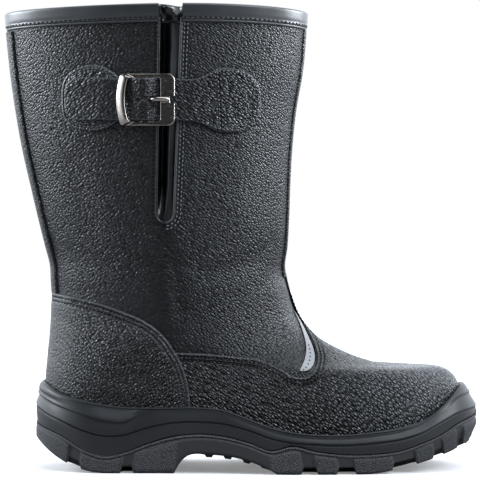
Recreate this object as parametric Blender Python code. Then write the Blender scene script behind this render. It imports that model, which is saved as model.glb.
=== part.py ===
"""Pull-on leather work boot for the right foot, standing empty on its sole.

The toe points along +X, the outer side of the foot faces -Y and +Z is up.
Tables and named sizes are in millimetres, from the back of the heel and the floor.
"""

import math
from collections import namedtuple

import bmesh
import bpy
import numpy as np

MM = 0.001
ORIGIN = np.array([139.9, 1.5, 0.0])  # middle of the boot's box, on the floor

# Leather, rubber and the clearances between stitched layers
WALL = 2.0
OVERLAY = 1.5
GAP = 0.35
RIM_GAP = 0.45

# The lines that the mesh follows round the upper: evenly turned angles, heel 0, toe half a turn
SIDE_STEPS = 22
ANGLES = np.arange(2 * SIDE_STEPS) * math.pi / SIDE_STEPS
LATERAL, MEDIAL = -1.0, 1.0

# Sections of the last from the lasting edge to the collar. back and front are the section's
# ends on the boot's middle plane, dip lowers it at the ball, rear and ball are half widths,
# heel_run and toe_run the lengths over which the ends close, sway the toe's inward swing
# and full the exponent of the front's roundness.
Section = namedtuple(
    "Section",
    "name back_x back_z front_x front_z dip rear ball heel_run toe_run sway full",
)
SECTIONS = [
    Section("lasting edge", 9.5, 36.0, 286.5, 27.0, 11.0, 31.0, 43.5, 36, 92, 7.0, 2.35),
    Section("foot wall", 8.2, 48.0, 288.5, 39.0, 10.0, 34.0, 46.0, 38, 92, 7.0, 2.35),
    Section("sole rim", 8.2, 58.0, 287.0, 50.0, 8.5, 35.5, 47.0, 40, 92, 7.0, 2.30),
    Section("toe face", 8.6, 66.0, 281.8, 58.2, 6.0, 36.0, 46.5, 42, 95, 7.0, 2.25),
    Section("toe shoulder", 9.3, 73.0, 272.5, 64.4, 3.5, 36.5, 45.0, 46, 100, 6.5, 2.15),
    Section("toe crown", 9.9, 80.0, 258.0, 66.6, 1.5, 37.0, 43.0, 52, 106, 6.0, 2.05),
    Section("cap back", 10.6, 87.0, 240.0, 67.2, 0.0, 37.5, 41.5, 58, 110, 5.0, 2.0),
    Section("vamp", 11.2, 94.0, 219.0, 72.8, 0.0, 38.0, 40.5, 64, 110, 4.0, 2.0),
    Section("vamp slope", 11.6, 101.0, 202.0, 79.4, 0.0, 38.0, 40.0, 70, 104, 3.0, 2.0),
    Section("vamp top", 11.9, 109.0, 188.8, 87.6, 0.0, 38.5, 39.5, 74, 96, 2.0, 2.0),
    Section("throat", 12.1, 118.0, 177.6, 101.5, 0.0, 39.0, 39.5, 78, 88, 1.0, 1.95),
    Section("instep", 12.1, 128.0, 170.2, 118.0, 0.0, 39.5, 40.0, 79, 82, 0.5, 1.95),
    Section("ankle", 11.5, 138.0, 167.4, 135.0, 0.0, 40.0, 40.0, 78, 78, 0.0, 1.9),
    Section("low shaft", 8.5, 150.0, 169.0, 150.0, 0.0, 40.5, 40.5, 80, 80, 0.0, 1.9),
    Section("slit end", 3.6, 170.0, 170.0, 170.0, 0.0, 41.5, 41.5, 83, 83, 0.0, 1.9),
    Section("calf", -1.8, 193.0, 170.8, 193.0, 0.0, 42.5, 42.5, 86, 86, 0.0, 1.9),
    Section("mid calf", -6.8, 215.0, 172.0, 216.0, 0.0, 43.5, 43.5, 89, 89, 0.0, 1.9),
    Section("strap", -11.2, 240.0, 174.6, 242.0, 0.0, 45.0, 45.0, 93, 93, 0.0, 1.9),
    Section("upper calf", -15.0, 268.0, 178.2, 271.0, -0.5, 46.5, 46.5, 96, 96, 0.0, 1.9),
    Section("collar", -18.6, 302.0, 181.8, 306.0, -1.0, 48.5, 48.5, 100, 100, 0.0, 1.9),
]
LEVELS = np.arange(len(SECTIONS), dtype=float)
COLLAR = LEVELS[-1]
MESH_LEVELS = np.array([0, 1, 2, 3, 4, 5, 6, 7, 8, 9, 10, 11, 12, 13, 14.5, 16, 17.5, COLLAR])
BALL_SPREAD = (0.25, 0.65)  # share of the length over which heel width grows to ball width
SWAY_START = 0.4
ARCH_INSET, ARCH_PLACE, ARCH_SPAN, ARCH_LEVELS = 5.0, 0.42, 0.13, 7.0

# Lines along the side of the sole: its rim, the heel cup's lower edge, the rib and the tread line
SoleLine = namedtuple("SoleLine", "x rim cup rib tread")
SOLE_LINES = [
    SoleLine(0.0, 60.0, 47.8, 40.0, 30.8),
    SoleLine(8.0, 56.8, 46.2, 37.0, 28.2),
    SoleLine(20.0, 51.0, 42.6, 33.4, 23.9),
    SoleLine(34.0, 46.6, 38.4, 27.6, 15.8),
    SoleLine(48.0, 43.8, 34.6, 23.9, 11.2),
    SoleLine(62.0, 42.4, 33.8, 25.0, 13.6),
    SoleLine(75.0, 42.3, 39.6, 29.3, 18.4),
    SoleLine(92.0, 43.1, 40.8, 33.4, 23.6),
    SoleLine(110.0, 43.5, 41.2, 34.4, 25.9),
    SoleLine(128.0, 42.0, 39.6, 33.2, 24.6),
    SoleLine(145.0, 36.2, 33.8, 28.9, 20.4),
    SoleLine(159.0, 30.9, 28.7, 23.9, 15.6),
    SoleLine(173.0, 27.6, 25.4, 21.2, 18.4),
    SoleLine(188.0, 26.0, 23.9, 20.0, 15.2),
    SoleLine(206.0, 25.6, 23.6, 19.4, 13.0),
    SoleLine(228.0, 27.4, 25.2, 20.6, 13.0),
    SoleLine(246.0, 30.0, 27.8, 22.9, 15.2),
    SoleLine(260.0, 34.4, 31.9, 27.0, 19.8),
    SoleLine(272.0, 43.0, 39.0, 32.6, 24.6),
    SoleLine(283.0, 52.0, 46.0, 37.2, 30.8),
    SoleLine(300.0, 57.2, 50.5, 41.6, 36.8),
]
SOLE_HEEL, SOLE_TOE = 6.0, 291.0
SOLE_REAR, SOLE_BALL, SOLE_SWAY, SOLE_FULL = 37.0, 48.0, 7.0, 2.4
SOLE_HEEL_RUN, SOLE_TOE_RUN = 42.0, 96.0
SOLE_STEPS = 20
CUP_STEP, CUP_END, CUP_FADE = 0.9, 60.0, 15.0

# Side profile of the sole: how far each line stands out from the last at heel, side and toe
Stand = namedtuple("Stand", "heel side toe")
CUP_STAND = Stand(4.9, 4.2, 6.2)
RIB_STAND = Stand(5.9, 5.4, 8.2)
RIB_STEP = 0.9
TREAD_STAND = Stand(5.5, 5.2, 8.4)
LUG_STAND = Stand(5.9, 5.9, 9.0)
GAP_STAND = Stand(3.6, 3.8, 6.6)
SOLE_FOOT_IN = 1.4
INNER_BED_SHARE, INTERFACE_INSET = 0.38, -8.0

# The floor side: heel bevel, arch, toe spring and the tread blocks as (start, end) along the boot
BEVEL_END, BEVEL_RISE, BEVEL_POWER = 34.0, 20.0, 2.2
ARCH_START, ARCH_END, ARCH_RISE, ARCH_CREST = 95.0, 163.0, 13.0, 0.25
SPRING_START, SPRING_RISE, SPRING_POWER = 222.0, 20.0, 1.45
BLOCKS = [
    (-1.0, 24.0),
    (32.5, 60.0),
    (67.5, 95.5),
    (159.0, 179.5),
    (189.0, 203.0),
    (213.0, 238.0),
    (251.0, 264.0),
    (270.0, 281.0),
    (286.0, 301.0),
]
BLOCK_DRAFT, GROOVE = 1.2, 4.2
TREAD_COLUMNS = (0.20, 0.24, 0.5, 0.76, 0.80)  # across the sole, outer to inner side
INSOLE = 3.0

# Edges of the stitched-on panels, seen from the side as (x, z)
COUNTER_EDGE = [
    (-12.0, 119.4),
    (9.0, 118.8),
    (22.4, 116.6),
    (34.6, 114.4),
    (48.4, 111.0),
    (60.5, 106.8),
    (75.0, 100.8),
    (81.5, 96.6),
    (89.0, 89.6),
    (95.6, 80.6),
    (100.9, 70.6),
    (104.4, 59.0),
    (106.4, 40.0),
]
VAMP_EDGE = [
    (116.5, 78.8),
    (138.5, 76.2),
    (151.7, 73.9),
    (158.7, 70.8),
    (167.9, 66.0),
    (175.9, 63.4),
    (182.8, 63.8),
    (187.6, 67.6),
    (189.6, 74.0),
    (188.6, 81.0),
    (184.7, 90.1),
    (179.6, 99.7),
    (174.7, 107.5),
    (170.4, 117.0),
    (167.6, 126.0),
    (166.4, 131.6),
]
VAMP_START = (98.0, 79.6)
REFLECTOR_INNER = [
    (171.2, 110.4),
    (177.2, 99.0),
    (180.6, 91.0),
    (182.4, 82.5),
    (181.4, 74.6),
    (177.6, 66.9),
]
REFLECTOR_OUTER = [
    (182.4, 66.6),
    (186.2, 69.4),
    (187.9, 74.4),
    (186.9, 80.6),
    (183.2, 89.2),
    (178.2, 98.6),
]
REFLECTOR_THICK = 0.6
COUNTER_LEVELS, VAMP_LEVELS, REFLECTOR_LEVELS = (0, 12), (0, 13), (1, 12)
VAMP_FIRST, COUNTER_LAST = 6, 16  # angle steps where their shells end on each side

BACKSTAY_STEPS, BACKSTAY_LOW, BACKSTAY_HIGH = 3, 10.2, 18.62
SEAM_STEPS, SEAM_LOW, SEAM_HIGH, SEAM_THICK = 1, 11.92, 18.62, 1.0

# The slit on the outer side with its folded gusset, and the collar's binding
SLIT_LOW, SLIT_HIGH = 165.0, 330.0
SLIT_LEFT, SLIT_RIGHT = (83.0, 85.4), (94.9, 100.6)  # x at the slit's foot and at the collar
SLIT_FOOT_ROUND = 3.5
GUSSET_WING, GUSSET_FOLD, GUSSET_THICK = 8.0, 11.0, 1.5
GUSSET_BEHIND_BINDING = 2.0
BINDING_HIGH, BINDING_THICK = 9.5, 1.3

# The strap runs from its wing on the front half, under the buckle's plate, over the centre
# bar, under the end bar and back over the tab. rise is its middle layer above the shaft.
StripRow = namedtuple("StripRow", "x rise low high")
STRAP = [
    StripRow(23.4, 3.2, 243.0, 251.0),
    StripRow(24.4, 3.2, 238.6, 255.6),
    StripRow(27.0, 3.2, 235.0, 259.0),
    StripRow(31.0, 3.2, 233.2, 260.9),
    StripRow(40.0, 3.2, 232.8, 261.2),
    StripRow(50.0, 3.2, 232.6, 260.8),
    StripRow(56.0, 2.9, 232.3, 260.5),
    StripRow(61.0, 2.9, 232.3, 260.5),
    StripRow(64.0, 3.5, 232.3, 260.5),
    StripRow(67.0, 5.0, 232.3, 260.5),
    StripRow(70.5, 6.9, 232.3, 260.5),
    StripRow(74.0, 7.8, 232.3, 260.5),
    StripRow(77.5, 6.9, 232.3, 260.5),
    StripRow(81.0, 4.4, 232.3, 260.5),
    StripRow(84.0, 2.6, 232.3, 260.5),
    StripRow(88.0, 1.7, 232.3, 260.5),
    StripRow(93.0, 1.4, 232.3, 260.4),
    StripRow(99.0, 1.3, 232.0, 260.0),
    StripRow(107.0, 1.2, 231.6, 260.0),
    StripRow(114.0, 1.2, 230.0, 261.6),
    StripRow(119.0, 1.2, 227.4, 264.6),
    StripRow(124.0, 1.2, 225.2, 267.0),
    StripRow(132.0, 1.2, 224.6, 267.4),
    StripRow(140.0, 1.2, 225.6, 266.0),
    StripRow(146.0, 1.2, 228.6, 262.6),
    StripRow(150.0, 1.2, 233.6, 257.6),
    StripRow(152.0, 1.2, 240.0, 251.6),
]
STRAP_THICK, STRIP_ROWS = 1.6, 5
TAB = [
    StripRow(20.6, 1.1, 242.0, 252.0),
    StripRow(21.6, 1.1, 236.6, 257.6),
    StripRow(24.4, 1.1, 231.8, 262.4),
    StripRow(29.5, 1.1, 228.2, 266.4),
    StripRow(37.0, 1.1, 226.4, 268.8),
    StripRow(44.0, 1.1, 226.2, 269.2),
    StripRow(50.0, 1.1, 227.4, 267.6),
    StripRow(55.0, 1.1, 230.0, 264.4),
    StripRow(58.5, 1.0, 232.6, 261.6),
    StripRow(64.0, 1.0, 234.0, 260.0),
    StripRow(69.0, 1.1, 234.0, 260.0),
]
TAB_THICK, TAB_FOLD_STEPS = 1.2, 8

# Buckle, in its own plane: along the strap, up the shaft, and out from the leather
BUCKLE_X, BUCKLE_Z = 76.2, 246.4
BUCKLE_LONG, BUCKLE_HIGH = 39.4, 34.8
BUCKLE_ROUND, WINDOW_ROUND = 4.2, 2.0
END_BAR, SIDE_RAIL, PLATE = 5.8, 2.7, 9.6
END_BAR_BOW = 1.6
BUCKLE_LOW, BUCKLE_TOP, END_BAR_LIFT = 3.6, 5.2, 1.5
BUCKLE_BEVEL = 0.7
BUCKLE_CORNER_STEPS, BUCKLE_SIDE_STEPS = 4, 5
BAR_X, BAR_RISE, BAR_RADIUS = 74.0, 3.9, 1.1
NOTCH_LONG, NOTCH_HIGH = 3.2, 4.6
CHANNEL_HIGH, CHANNEL_DEEP = 3.6, 0.9
ProngRow = namedtuple("ProngRow", "x rise radius")
PRONG = [
    ProngRow(77.0, 5.4, 0.9),
    ProngRow(79.0, 6.6, 1.0),
    ProngRow(81.5, 7.5, 1.15),
    ProngRow(84.5, 7.6, 1.3),
    ProngRow(88.0, 7.0, 1.4),
    ProngRow(91.0, 6.2, 1.4),
    ProngRow(92.0, 6.0, 1.2),
]
PRONG_SIDES = 8
PRONG_HOLE_START, PRONG_HOLE_END, PRONG_HOLE_HIGH = 75.4, 83.4, 3.4

Finish = namedtuple("Finish", "colour roughness metallic")
LEATHER = Finish((0.030, 0.033, 0.037, 1.0), 0.50, 0.0)
SMOOTH_LEATHER = Finish((0.022, 0.024, 0.027, 1.0), 0.32, 0.0)
SOLE_COMPOUND = Finish((0.024, 0.025, 0.028, 1.0), 0.50, 0.0)
TREAD_COMPOUND = Finish((0.030, 0.030, 0.033, 1.0), 0.72, 0.0)
FOOTBED_FELT = Finish((0.10, 0.10, 0.10, 1.0), 0.95, 0.0)
REFLECTIVE = Finish((0.45, 0.46, 0.49, 1.0), 0.45, 0.0)
POLISHED_METAL = Finish((0.62, 0.60, 0.58, 1.0), 0.14, 1.0)


# Curves and surfaces of the last


def smooth(xs, ys, at):
    """Height at `at` of the smooth cubic through a table's points, each with its mean slope."""
    xs, ys = np.asarray(xs, float), np.asarray(ys, float)
    slopes = np.gradient(ys, xs)
    at = np.clip(at, xs[0], xs[-1])
    i = np.clip(np.searchsorted(xs, at, side="right") - 1, 0, len(xs) - 2)
    step = xs[i + 1] - xs[i]
    t = (at - xs[i]) / step
    start = ys[i] * (1 + 2 * t) + slopes[i] * step * t
    end = ys[i + 1] * (3 - 2 * t) + slopes[i + 1] * step * (t - 1)
    return start * (1 - t) ** 2 + end * t**2


def ease(t):
    """Soft step from 0 to 1."""
    t = np.clip(t, 0.0, 1.0)
    return t * t * (3 - 2 * t)


def closing(share, run, power):
    """Width factor that closes an end: 0 at the end, 1 once `run` of the length is passed."""
    left = np.clip(1 - share / run, 0.0, 1.0)
    return (1 - left**power) ** (1 / power)


def half_width(q, length, rear, ball, heel_run, toe_run, full):
    """Half width of a section at the share q of its length, from heel to toe."""
    start, end = BALL_SPREAD
    width = rear + (ball - rear) * ease((q - start) / (end - start))
    heel = closing(q, heel_run / length, np.minimum(full, 2.0))
    return width * heel * closing(1 - q, toe_run / length, full)


def section_at(level):
    """The section table's columns at a level between its rows."""
    columns = np.array([row[1:] for row in SECTIONS], float).T
    return Section("", *(smooth(LEVELS, column, level) for column in columns))


def last_point(level, angle):
    """Point of the upper's outer face: level from lasting edge to collar, angle round it."""
    level, angle = np.broadcast_arrays(np.asarray(level, float), np.asarray(angle, float))
    s = section_at(level)
    q = (1 - np.cos(angle)) / 2
    length = s.front_x - s.back_x
    side = np.where(np.sin(angle) >= 0, LATERAL, MEDIAL)
    width = half_width(q, length, s.rear, s.ball, s.heel_run, s.toe_run, s.full)
    arch = ARCH_INSET * np.clip(1 - level / ARCH_LEVELS, 0, 1)
    arch = arch * np.exp(-(((q - ARCH_PLACE) / ARCH_SPAN) ** 2))
    width = width - np.where(side == MEDIAL, arch, 0.0)
    x = s.back_x + length * q
    y = s.sway * ease((q - SWAY_START) / (1 - SWAY_START)) + side * width
    z = s.back_z + (s.front_z - s.back_z) * q - s.dip * 6.75 * q * q * (1 - q)
    return np.stack([x, y, z], axis=-1)


def last_normal(level, angle):
    """Outward direction of the upper's face, from small steps along level and angle."""
    level, angle = np.broadcast_arrays(np.asarray(level, float), np.asarray(angle, float))
    rise, turn = 0.02, 0.02
    top, low = np.minimum(level + rise, COLLAR), np.maximum(level - rise, 0.0)
    up = last_point(top, angle) - last_point(low, angle)
    along = last_point(level, angle + turn) - last_point(level, angle - turn)
    normal = np.cross(along, up)
    return normal / np.linalg.norm(normal, axis=-1, keepdims=True)


def shell_point(level, angle, offset):
    """Point at a distance outside the upper's outer face."""
    return last_point(level, angle) + last_normal(level, angle) * np.asarray(offset)[..., None]


def level_at_height(angle, height):
    """Level where the upper's face reaches height(x) at each angle, by halving."""
    low, high = np.zeros_like(angle), np.full_like(angle, 8.0)
    for _ in range(30):
        middle = (low + high) / 2
        point = last_point(middle, angle)
        under = point[..., 2] < height(point[..., 0])
        low, high = np.where(under, middle, low), np.where(under, high, middle)
    return (low + high) / 2


def side_face(x, z):
    """Point and outward direction of the shaft's outer side at the given x and z."""
    x, z = np.broadcast_arrays(np.asarray(x, float), np.asarray(z, float))

    def reach(px, pz):
        level = np.interp(pz, [row.back_z for row in SECTIONS], LEVELS)
        for _ in range(12):
            s = section_at(level)
            q = np.clip((px - s.back_x) / (s.front_x - s.back_x), 0.0, 1.0)
            here = s.back_z + (s.front_z - s.back_z) * q - s.dip * 6.75 * q * q * (1 - q)
            level = np.clip(level + (pz - here) / 25.0, 0.0, COLLAR)
        return last_point(level, np.arccos(1 - 2 * q))[..., 1]

    y, step = reach(x, z), 0.5
    slope_x = (reach(x + step, z) - reach(x - step, z)) / (2 * step)
    slope_z = (reach(x, z + step) - reach(x, z - step)) / (2 * step)
    normal = np.stack([slope_x, -np.ones_like(y), slope_z], axis=-1)
    normal = normal / np.linalg.norm(normal, axis=-1, keepdims=True)
    return np.stack([x, y, z], axis=-1), normal


# Mesh helpers


def paint(obj, finish):
    """Gives an object its own material."""
    material = bpy.data.materials.new(obj.name)
    material.use_nodes = True
    shader = material.node_tree.nodes["Principled BSDF"]
    shader.inputs["Base Color"].default_value = finish.colour
    shader.inputs["Roughness"].default_value = finish.roughness
    shader.inputs["Metallic"].default_value = finish.metallic
    obj.data.materials.append(material)


def make_object(name, points, faces, finish=None, short_splits=False):
    """A closed mesh object from points in millimetres; without a finish it is a cutter.

    With short_splits every face is split on its shortest diagonal, so that two pieces
    whose faces run side by side keep the same creases.
    """
    mesh = bpy.data.meshes.new(name)
    placed = (np.asarray(points, float).reshape(-1, 3) - ORIGIN) * MM
    mesh.from_pydata(placed.tolist(), [], [list(map(int, face)) for face in faces])
    work = bmesh.new()
    work.from_mesh(mesh)
    if short_splits:
        bmesh.ops.triangulate(work, faces=work.faces[:], quad_method="SHORT_EDGE")
    bmesh.ops.recalc_face_normals(work, faces=work.faces)
    work.to_mesh(mesh)
    work.free()
    obj = bpy.data.objects.new(name, mesh)
    bpy.context.scene.collection.objects.link(obj)
    if finish is None:
        obj.hide_render = True
        obj.display_type = "WIRE"
    else:
        obj.parent = bpy.data.objects["boot"]
        paint(obj, finish)
        mesh.shade_smooth()
        mesh.set_sharp_from_angle(angle=math.radians(40))
    return obj


def grid_faces(rows, columns, first=0, wrap=False):
    """Quads of a grid whose points are stored row by row from index first."""
    faces = []
    for i in range(rows - 1):
        for j in range(columns if wrap else columns - 1):
            k = (j + 1) % columns
            here, above = first + i * columns, first + (i + 1) * columns
            faces.append((here + j, here + k, above + k, above + j))
    return faces


def layer_solid(name, outer, inner, finish, wrap=False):
    """Closed sheet between two grids of the same size, open rings where it wraps."""
    rows, columns = outer.shape[:2]
    count = rows * columns
    faces = grid_faces(rows, columns, 0, wrap) + grid_faces(rows, columns, count, wrap)
    for i in (0, rows - 1):
        for j in range(columns if wrap else columns - 1):
            a, b = i * columns + j, i * columns + (j + 1) % columns
            faces.append((a, b, count + b, count + a))
    if not wrap:
        for j in (0, columns - 1):
            for i in range(rows - 1):
                a, b = i * columns + j, (i + 1) * columns + j
                faces.append((a, b, count + b, count + a))
    points = np.concatenate([outer.reshape(-1, 3), inner.reshape(-1, 3)])
    return make_object(name, points, faces, finish, True)


def ring_solid(name, rings, finish, closed_path=False):
    """Tube of equal rings: capped at its ends, or joined end to end."""
    rings = np.asarray(rings, float)
    rows, columns = rings.shape[:2]
    if closed_path:
        rings = np.concatenate([rings, rings[:1]])
        faces = [
            tuple(index % (rows * columns) for index in face)
            for face in grid_faces(rows + 1, columns, 0, True)
        ]
        return make_object(name, rings[:-1], faces, finish)
    faces = grid_faces(rows, columns, 0, True)
    faces.append(tuple(range(columns)))
    faces.append(tuple((rows - 1) * columns + j for j in range(columns)))
    return make_object(name, rings, faces, finish)


def prism(name, outline, y_low, y_high):
    """Cutter with a side-view outline of (x, z) points, running across the boot."""
    count = len(outline)
    points = [(x, y, z) for y in (y_low, y_high) for x, z in outline]
    faces = [tuple(range(count)), tuple(range(count, 2 * count))]
    faces += [(i, (i + 1) % count, count + (i + 1) % count, count + i) for i in range(count)]
    return make_object(name, points, faces)


def box(name, low, high):
    """Cutter box between two corners."""
    (x0, y0, z0), (x1, y1, z1) = low, high
    return prism(name, [(x0, z0), (x1, z0), (x1, z1), (x0, z1)], y0, y1)


def combine(target, other, operation):
    """Boolean of a piece with a cutter, or with a second form of the same piece."""
    modifier = target.modifiers.new(operation.title(), "BOOLEAN")
    modifier.operation = operation
    modifier.solver = "EXACT"
    modifier.object = other


def drop_close(points, least):
    """Side-view outline with points nearer than `least` to the last kept one left out."""
    kept = [points[0]]
    for point in points[1:]:
        if math.dist(point, kept[-1]) >= least:
            kept.append(point)
    return kept


# Sole


def sole_line(name, x):
    """Height of one of the sole's side lines at x."""
    return smooth([row.x for row in SOLE_LINES], [getattr(row, name) for row in SOLE_LINES], x)


def ground(x):
    """Height of the tread's underside: heel bevel, arch behind the ball and toe spring."""
    x = np.asarray(x, float)
    bevel = BEVEL_RISE * np.clip((BEVEL_END - x) / BEVEL_END, 0, 1) ** BEVEL_POWER
    t = np.clip((x - ARCH_START) / (ARCH_END - ARCH_START), 0, 1)
    climb = 1 - (1 - np.clip(t / ARCH_CREST, 0, 1)) ** 3
    fall = 1 - np.clip((t - ARCH_CREST) / (1 - ARCH_CREST), 0, 1) ** 2.5
    spring = np.clip((x - SPRING_START) / (SOLE_TOE + 9 - SPRING_START), 0, 1) ** SPRING_POWER
    return bevel + ARCH_RISE * climb * fall + SPRING_RISE * spring


def bed(x):
    """Height of the lasting edge, where upper and footbed meet."""
    s = SECTIONS[0]
    q = np.clip((np.asarray(x, float) - s.back_x) / (s.front_x - s.back_x), 0, 1)
    return s.back_z + (s.front_z - s.back_z) * q - s.dip * 6.75 * q * q * (1 - q)


def sole_stations():
    """Places along the sole: close together at its ends, and a pair at each block's edge."""
    turn = np.linspace(0, math.pi, SOLE_STEPS + 1)
    even = SOLE_HEEL + (SOLE_TOE - SOLE_HEEL) * (1 - np.cos(turn)) / 2
    edges = [edge for block in BLOCKS for edge in block if SOLE_HEEL < edge < SOLE_TOE]
    pairs = [edge + side * BLOCK_DRAFT / 2 for edge in edges for side in (-1, 1)]
    clear = [x for x in even if min(abs(x - pair) for pair in pairs) > 2.0]
    return np.array(sorted(clear + pairs))


def loop_of(lateral, medial):
    """Closed loop from heel to toe on the outer side and back on the inner side."""
    return np.concatenate([lateral, medial[-2:0:-1]])


class SolePlan:
    """The sole's outline in plan at the stations, with outward directions."""

    def __init__(self):
        self.x = sole_stations()
        span = SOLE_TOE - SOLE_HEEL
        q = (self.x - SOLE_HEEL) / span
        width = half_width(
            q, span, SOLE_REAR, SOLE_BALL, SOLE_HEEL_RUN, SOLE_TOE_RUN, SOLE_FULL
        )
        arch = ARCH_INSET * np.exp(-(((q - ARCH_PLACE) / ARCH_SPAN) ** 2))
        middle = SOLE_SWAY * ease((q - SWAY_START) / (1 - SWAY_START))
        lateral = np.stack([self.x, middle - width], axis=-1)
        medial = np.stack([self.x, middle + width - arch], axis=-1)
        self.loop = loop_of(lateral, medial)
        self.station = loop_of(self.x, self.x)
        self.angle = loop_of(np.arccos(1 - 2 * q), 2 * math.pi - np.arccos(1 - 2 * q))
        along = np.roll(self.loop, -1, axis=0) - np.roll(self.loop, 1, axis=0)
        outward = np.stack([along[:, 1], -along[:, 0]], axis=-1)
        self.outward = outward / np.linalg.norm(outward, axis=-1, keepdims=True)

    def stand(self, stand):
        """How far a line stands out at each point: heel, side and toe values blended."""
        to_heel = ease(-self.outward[:, 0])
        to_toe = ease(self.outward[:, 0])
        return stand.side + (stand.heel - stand.side) * to_heel + (stand.toe - stand.side) * to_toe

    def ring(self, out, height):
        """Loop standing out by `out`, at the height that height(x) gives."""
        flat = self.loop + self.outward * np.asarray(out)[..., None]
        return np.column_stack([flat, height(flat[:, 0])])


def cap_faces(count, first, stations):
    """Faces that close a loop from its outer to its inner side, station by station."""
    last = stations - 1
    lateral = lambda i: first + i
    medial = lambda i: first + (count - i) % count
    faces = [(lateral(0), lateral(1), medial(1))]
    for i in range(1, last - 1):
        faces.append((lateral(i), lateral(i + 1), medial(i + 1), medial(i)))
    faces.append((lateral(last - 1), lateral(last), medial(last - 1)))
    return faces


def interface_ring(plan):
    """Inner loop of the joint between midsole and outsole, under the footbed."""
    return plan.ring(
        np.full(len(plan.loop), INTERFACE_INSET),
        lambda x: ground(x) + INNER_BED_SHARE * (bed(x) - ground(x)),
    )


def lifted(ring, by):
    """A loop moved up."""
    return ring + np.array([0.0, 0.0, by])


def build_midsole(plan):
    """Moulded cup: rim, heel cup step and side rib, hollowed by the upper's own form."""
    rim = lambda x: sole_line("rim", x)
    top = level_at_height(plan.angle, rim)
    edge = last_point(top, plan.angle)

    def rim_ring(offset, drop):
        ring = shell_point(top, plan.angle, np.full_like(top, offset))
        ring[:, 2] = rim(edge[:, 0]) - drop
        return ring

    cup, rib = plan.stand(CUP_STAND), plan.stand(RIB_STAND)
    step = CUP_STEP * (1 - ease((plan.station - CUP_END) / CUP_FADE))
    rings = [
        rim_ring(-4.0, 0.7),
        rim_ring(1.8, 0.0),
        rim_ring(3.1, 1.3),
        plan.ring(cup, lambda x: sole_line("cup", x) + 0.5),
        plan.ring(cup - step, lambda x: sole_line("cup", x) - 0.5),
        plan.ring(rib, lambda x: sole_line("rib", x) + 0.6),
        plan.ring(rib - RIB_STEP, lambda x: sole_line("rib", x) - 0.6),
        plan.ring(plan.stand(TREAD_STAND), lambda x: sole_line("tread", x) + GAP / 2),
        lifted(interface_ring(plan), GAP / 2),
    ]
    count, stations = len(plan.loop), len(plan.x)
    faces = grid_faces(len(rings), count, 0, True)
    faces += cap_faces(count, 0, stations)
    faces += cap_faces(count, (len(rings) - 1) * count, stations)
    midsole = make_object("midsole", np.concatenate(rings), faces, SOLE_COMPOUND, True)
    combine(midsole, cavity_cutter(), "DIFFERENCE")


def cavity_cutter():
    """The room that upper and footbed take in the sole, a clearance larger than the upper."""
    levels = MESH_LEVELS[:5]
    size = (len(levels), len(ANGLES))
    rings = shell_point(levels[:, None], ANGLES[None, :], np.full(size, RIM_GAP))
    rings[0, :, 2] -= GAP
    count = len(ANGLES)
    faces = grid_faces(len(levels), count, 0, True)
    faces += cap_faces(count, 0, SIDE_STEPS + 1)
    faces += cap_faces(count, (len(levels) - 1) * count, SIDE_STEPS + 1)
    return make_object("cavity_cutter", rings, faces)


def build_outsole(plan):
    """Tread layer with blocks round its edge, a bar between each pair of gaps and the arch."""
    inside = np.zeros(len(plan.station), bool)
    for start, end in BLOCKS:
        inside |= (plan.station > start) & (plan.station < end)
    arch = (plan.station > BLOCKS[2][1]) & (plan.station < BLOCKS[3][0])
    block = inside | arch
    out = np.where(block, plan.stand(LUG_STAND), plan.stand(GAP_STAND))
    edge_lift = np.where(block, 0.0, GROOVE)
    top = plan.ring(plan.stand(TREAD_STAND), lambda x: sole_line("tread", x) - GAP / 2)
    rings = [
        lifted(interface_ring(plan), -GAP / 2),
        top,
        plan.ring(out, lambda x: sole_line("tread", x) - 1.6),
        plan.ring(out - 0.4, lambda x: ground(x) + edge_lift + 1.6),
        plan.ring(out - SOLE_FOOT_IN, lambda x: ground(x) + edge_lift),
    ]
    count, stations = len(plan.loop), len(plan.x)
    points = [point for ring in rings for point in ring]
    faces = grid_faces(len(rings), count, 0, True) + cap_faces(count, 0, stations)
    foot = (len(rings) - 1) * count
    lateral = [foot + i for i in range(stations)]
    medial = [foot + (count - i) % count for i in range(stations)]
    across = []
    for i in range(1, stations - 1):
        row = [lateral[i]]
        start, end = np.asarray(points[lateral[i]]), np.asarray(points[medial[i]])
        channel = GROOVE if inside[i] else 0.0
        lifts = [edge_lift[i], channel, channel, channel, edge_lift[i]]
        for share, lift in zip(TREAD_COLUMNS, lifts):
            point = start + (end - start) * share
            point[2] = ground(point[0]) + lift
            row.append(len(points))
            points.append(point)
        across.append(row + [medial[i]])
    for row, above in zip(across, across[1:]):
        faces += [(row[j], row[j + 1], above[j + 1], above[j]) for j in range(len(row) - 1)]
    for end, row in ((lateral[0], across[0]), (lateral[-1], across[-1])):
        faces += [(end, row[j], row[j + 1]) for j in range(len(row) - 1)]
    make_object("outsole", points, faces, TREAD_COMPOUND, True)


def build_insole():
    """Loose footbed sheet inside the upper, lying on the midsole."""
    count = len(ANGLES)
    low = shell_point(np.zeros(count), ANGLES, np.full(count, -WALL - 0.6))
    faces = grid_faces(2, count, 0, True)
    faces += cap_faces(count, 0, SIDE_STEPS + 1) + cap_faces(count, count, SIDE_STEPS + 1)
    make_object("insole", np.concatenate([low, lifted(low, INSOLE)]), faces, FOOTBED_FELT)


# Upper and its stitched-on panels


def slit_edges(z):
    """x of the slit's two edges at height z."""
    share = (np.asarray(z, float) - SLIT_LOW) / (SECTIONS[-1].back_z - SLIT_LOW)
    left = SLIT_LEFT[0] + (SLIT_LEFT[1] - SLIT_LEFT[0]) * share
    right = SLIT_RIGHT[0] + (SLIT_RIGHT[1] - SLIT_RIGHT[0]) * share
    return left, right


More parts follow.
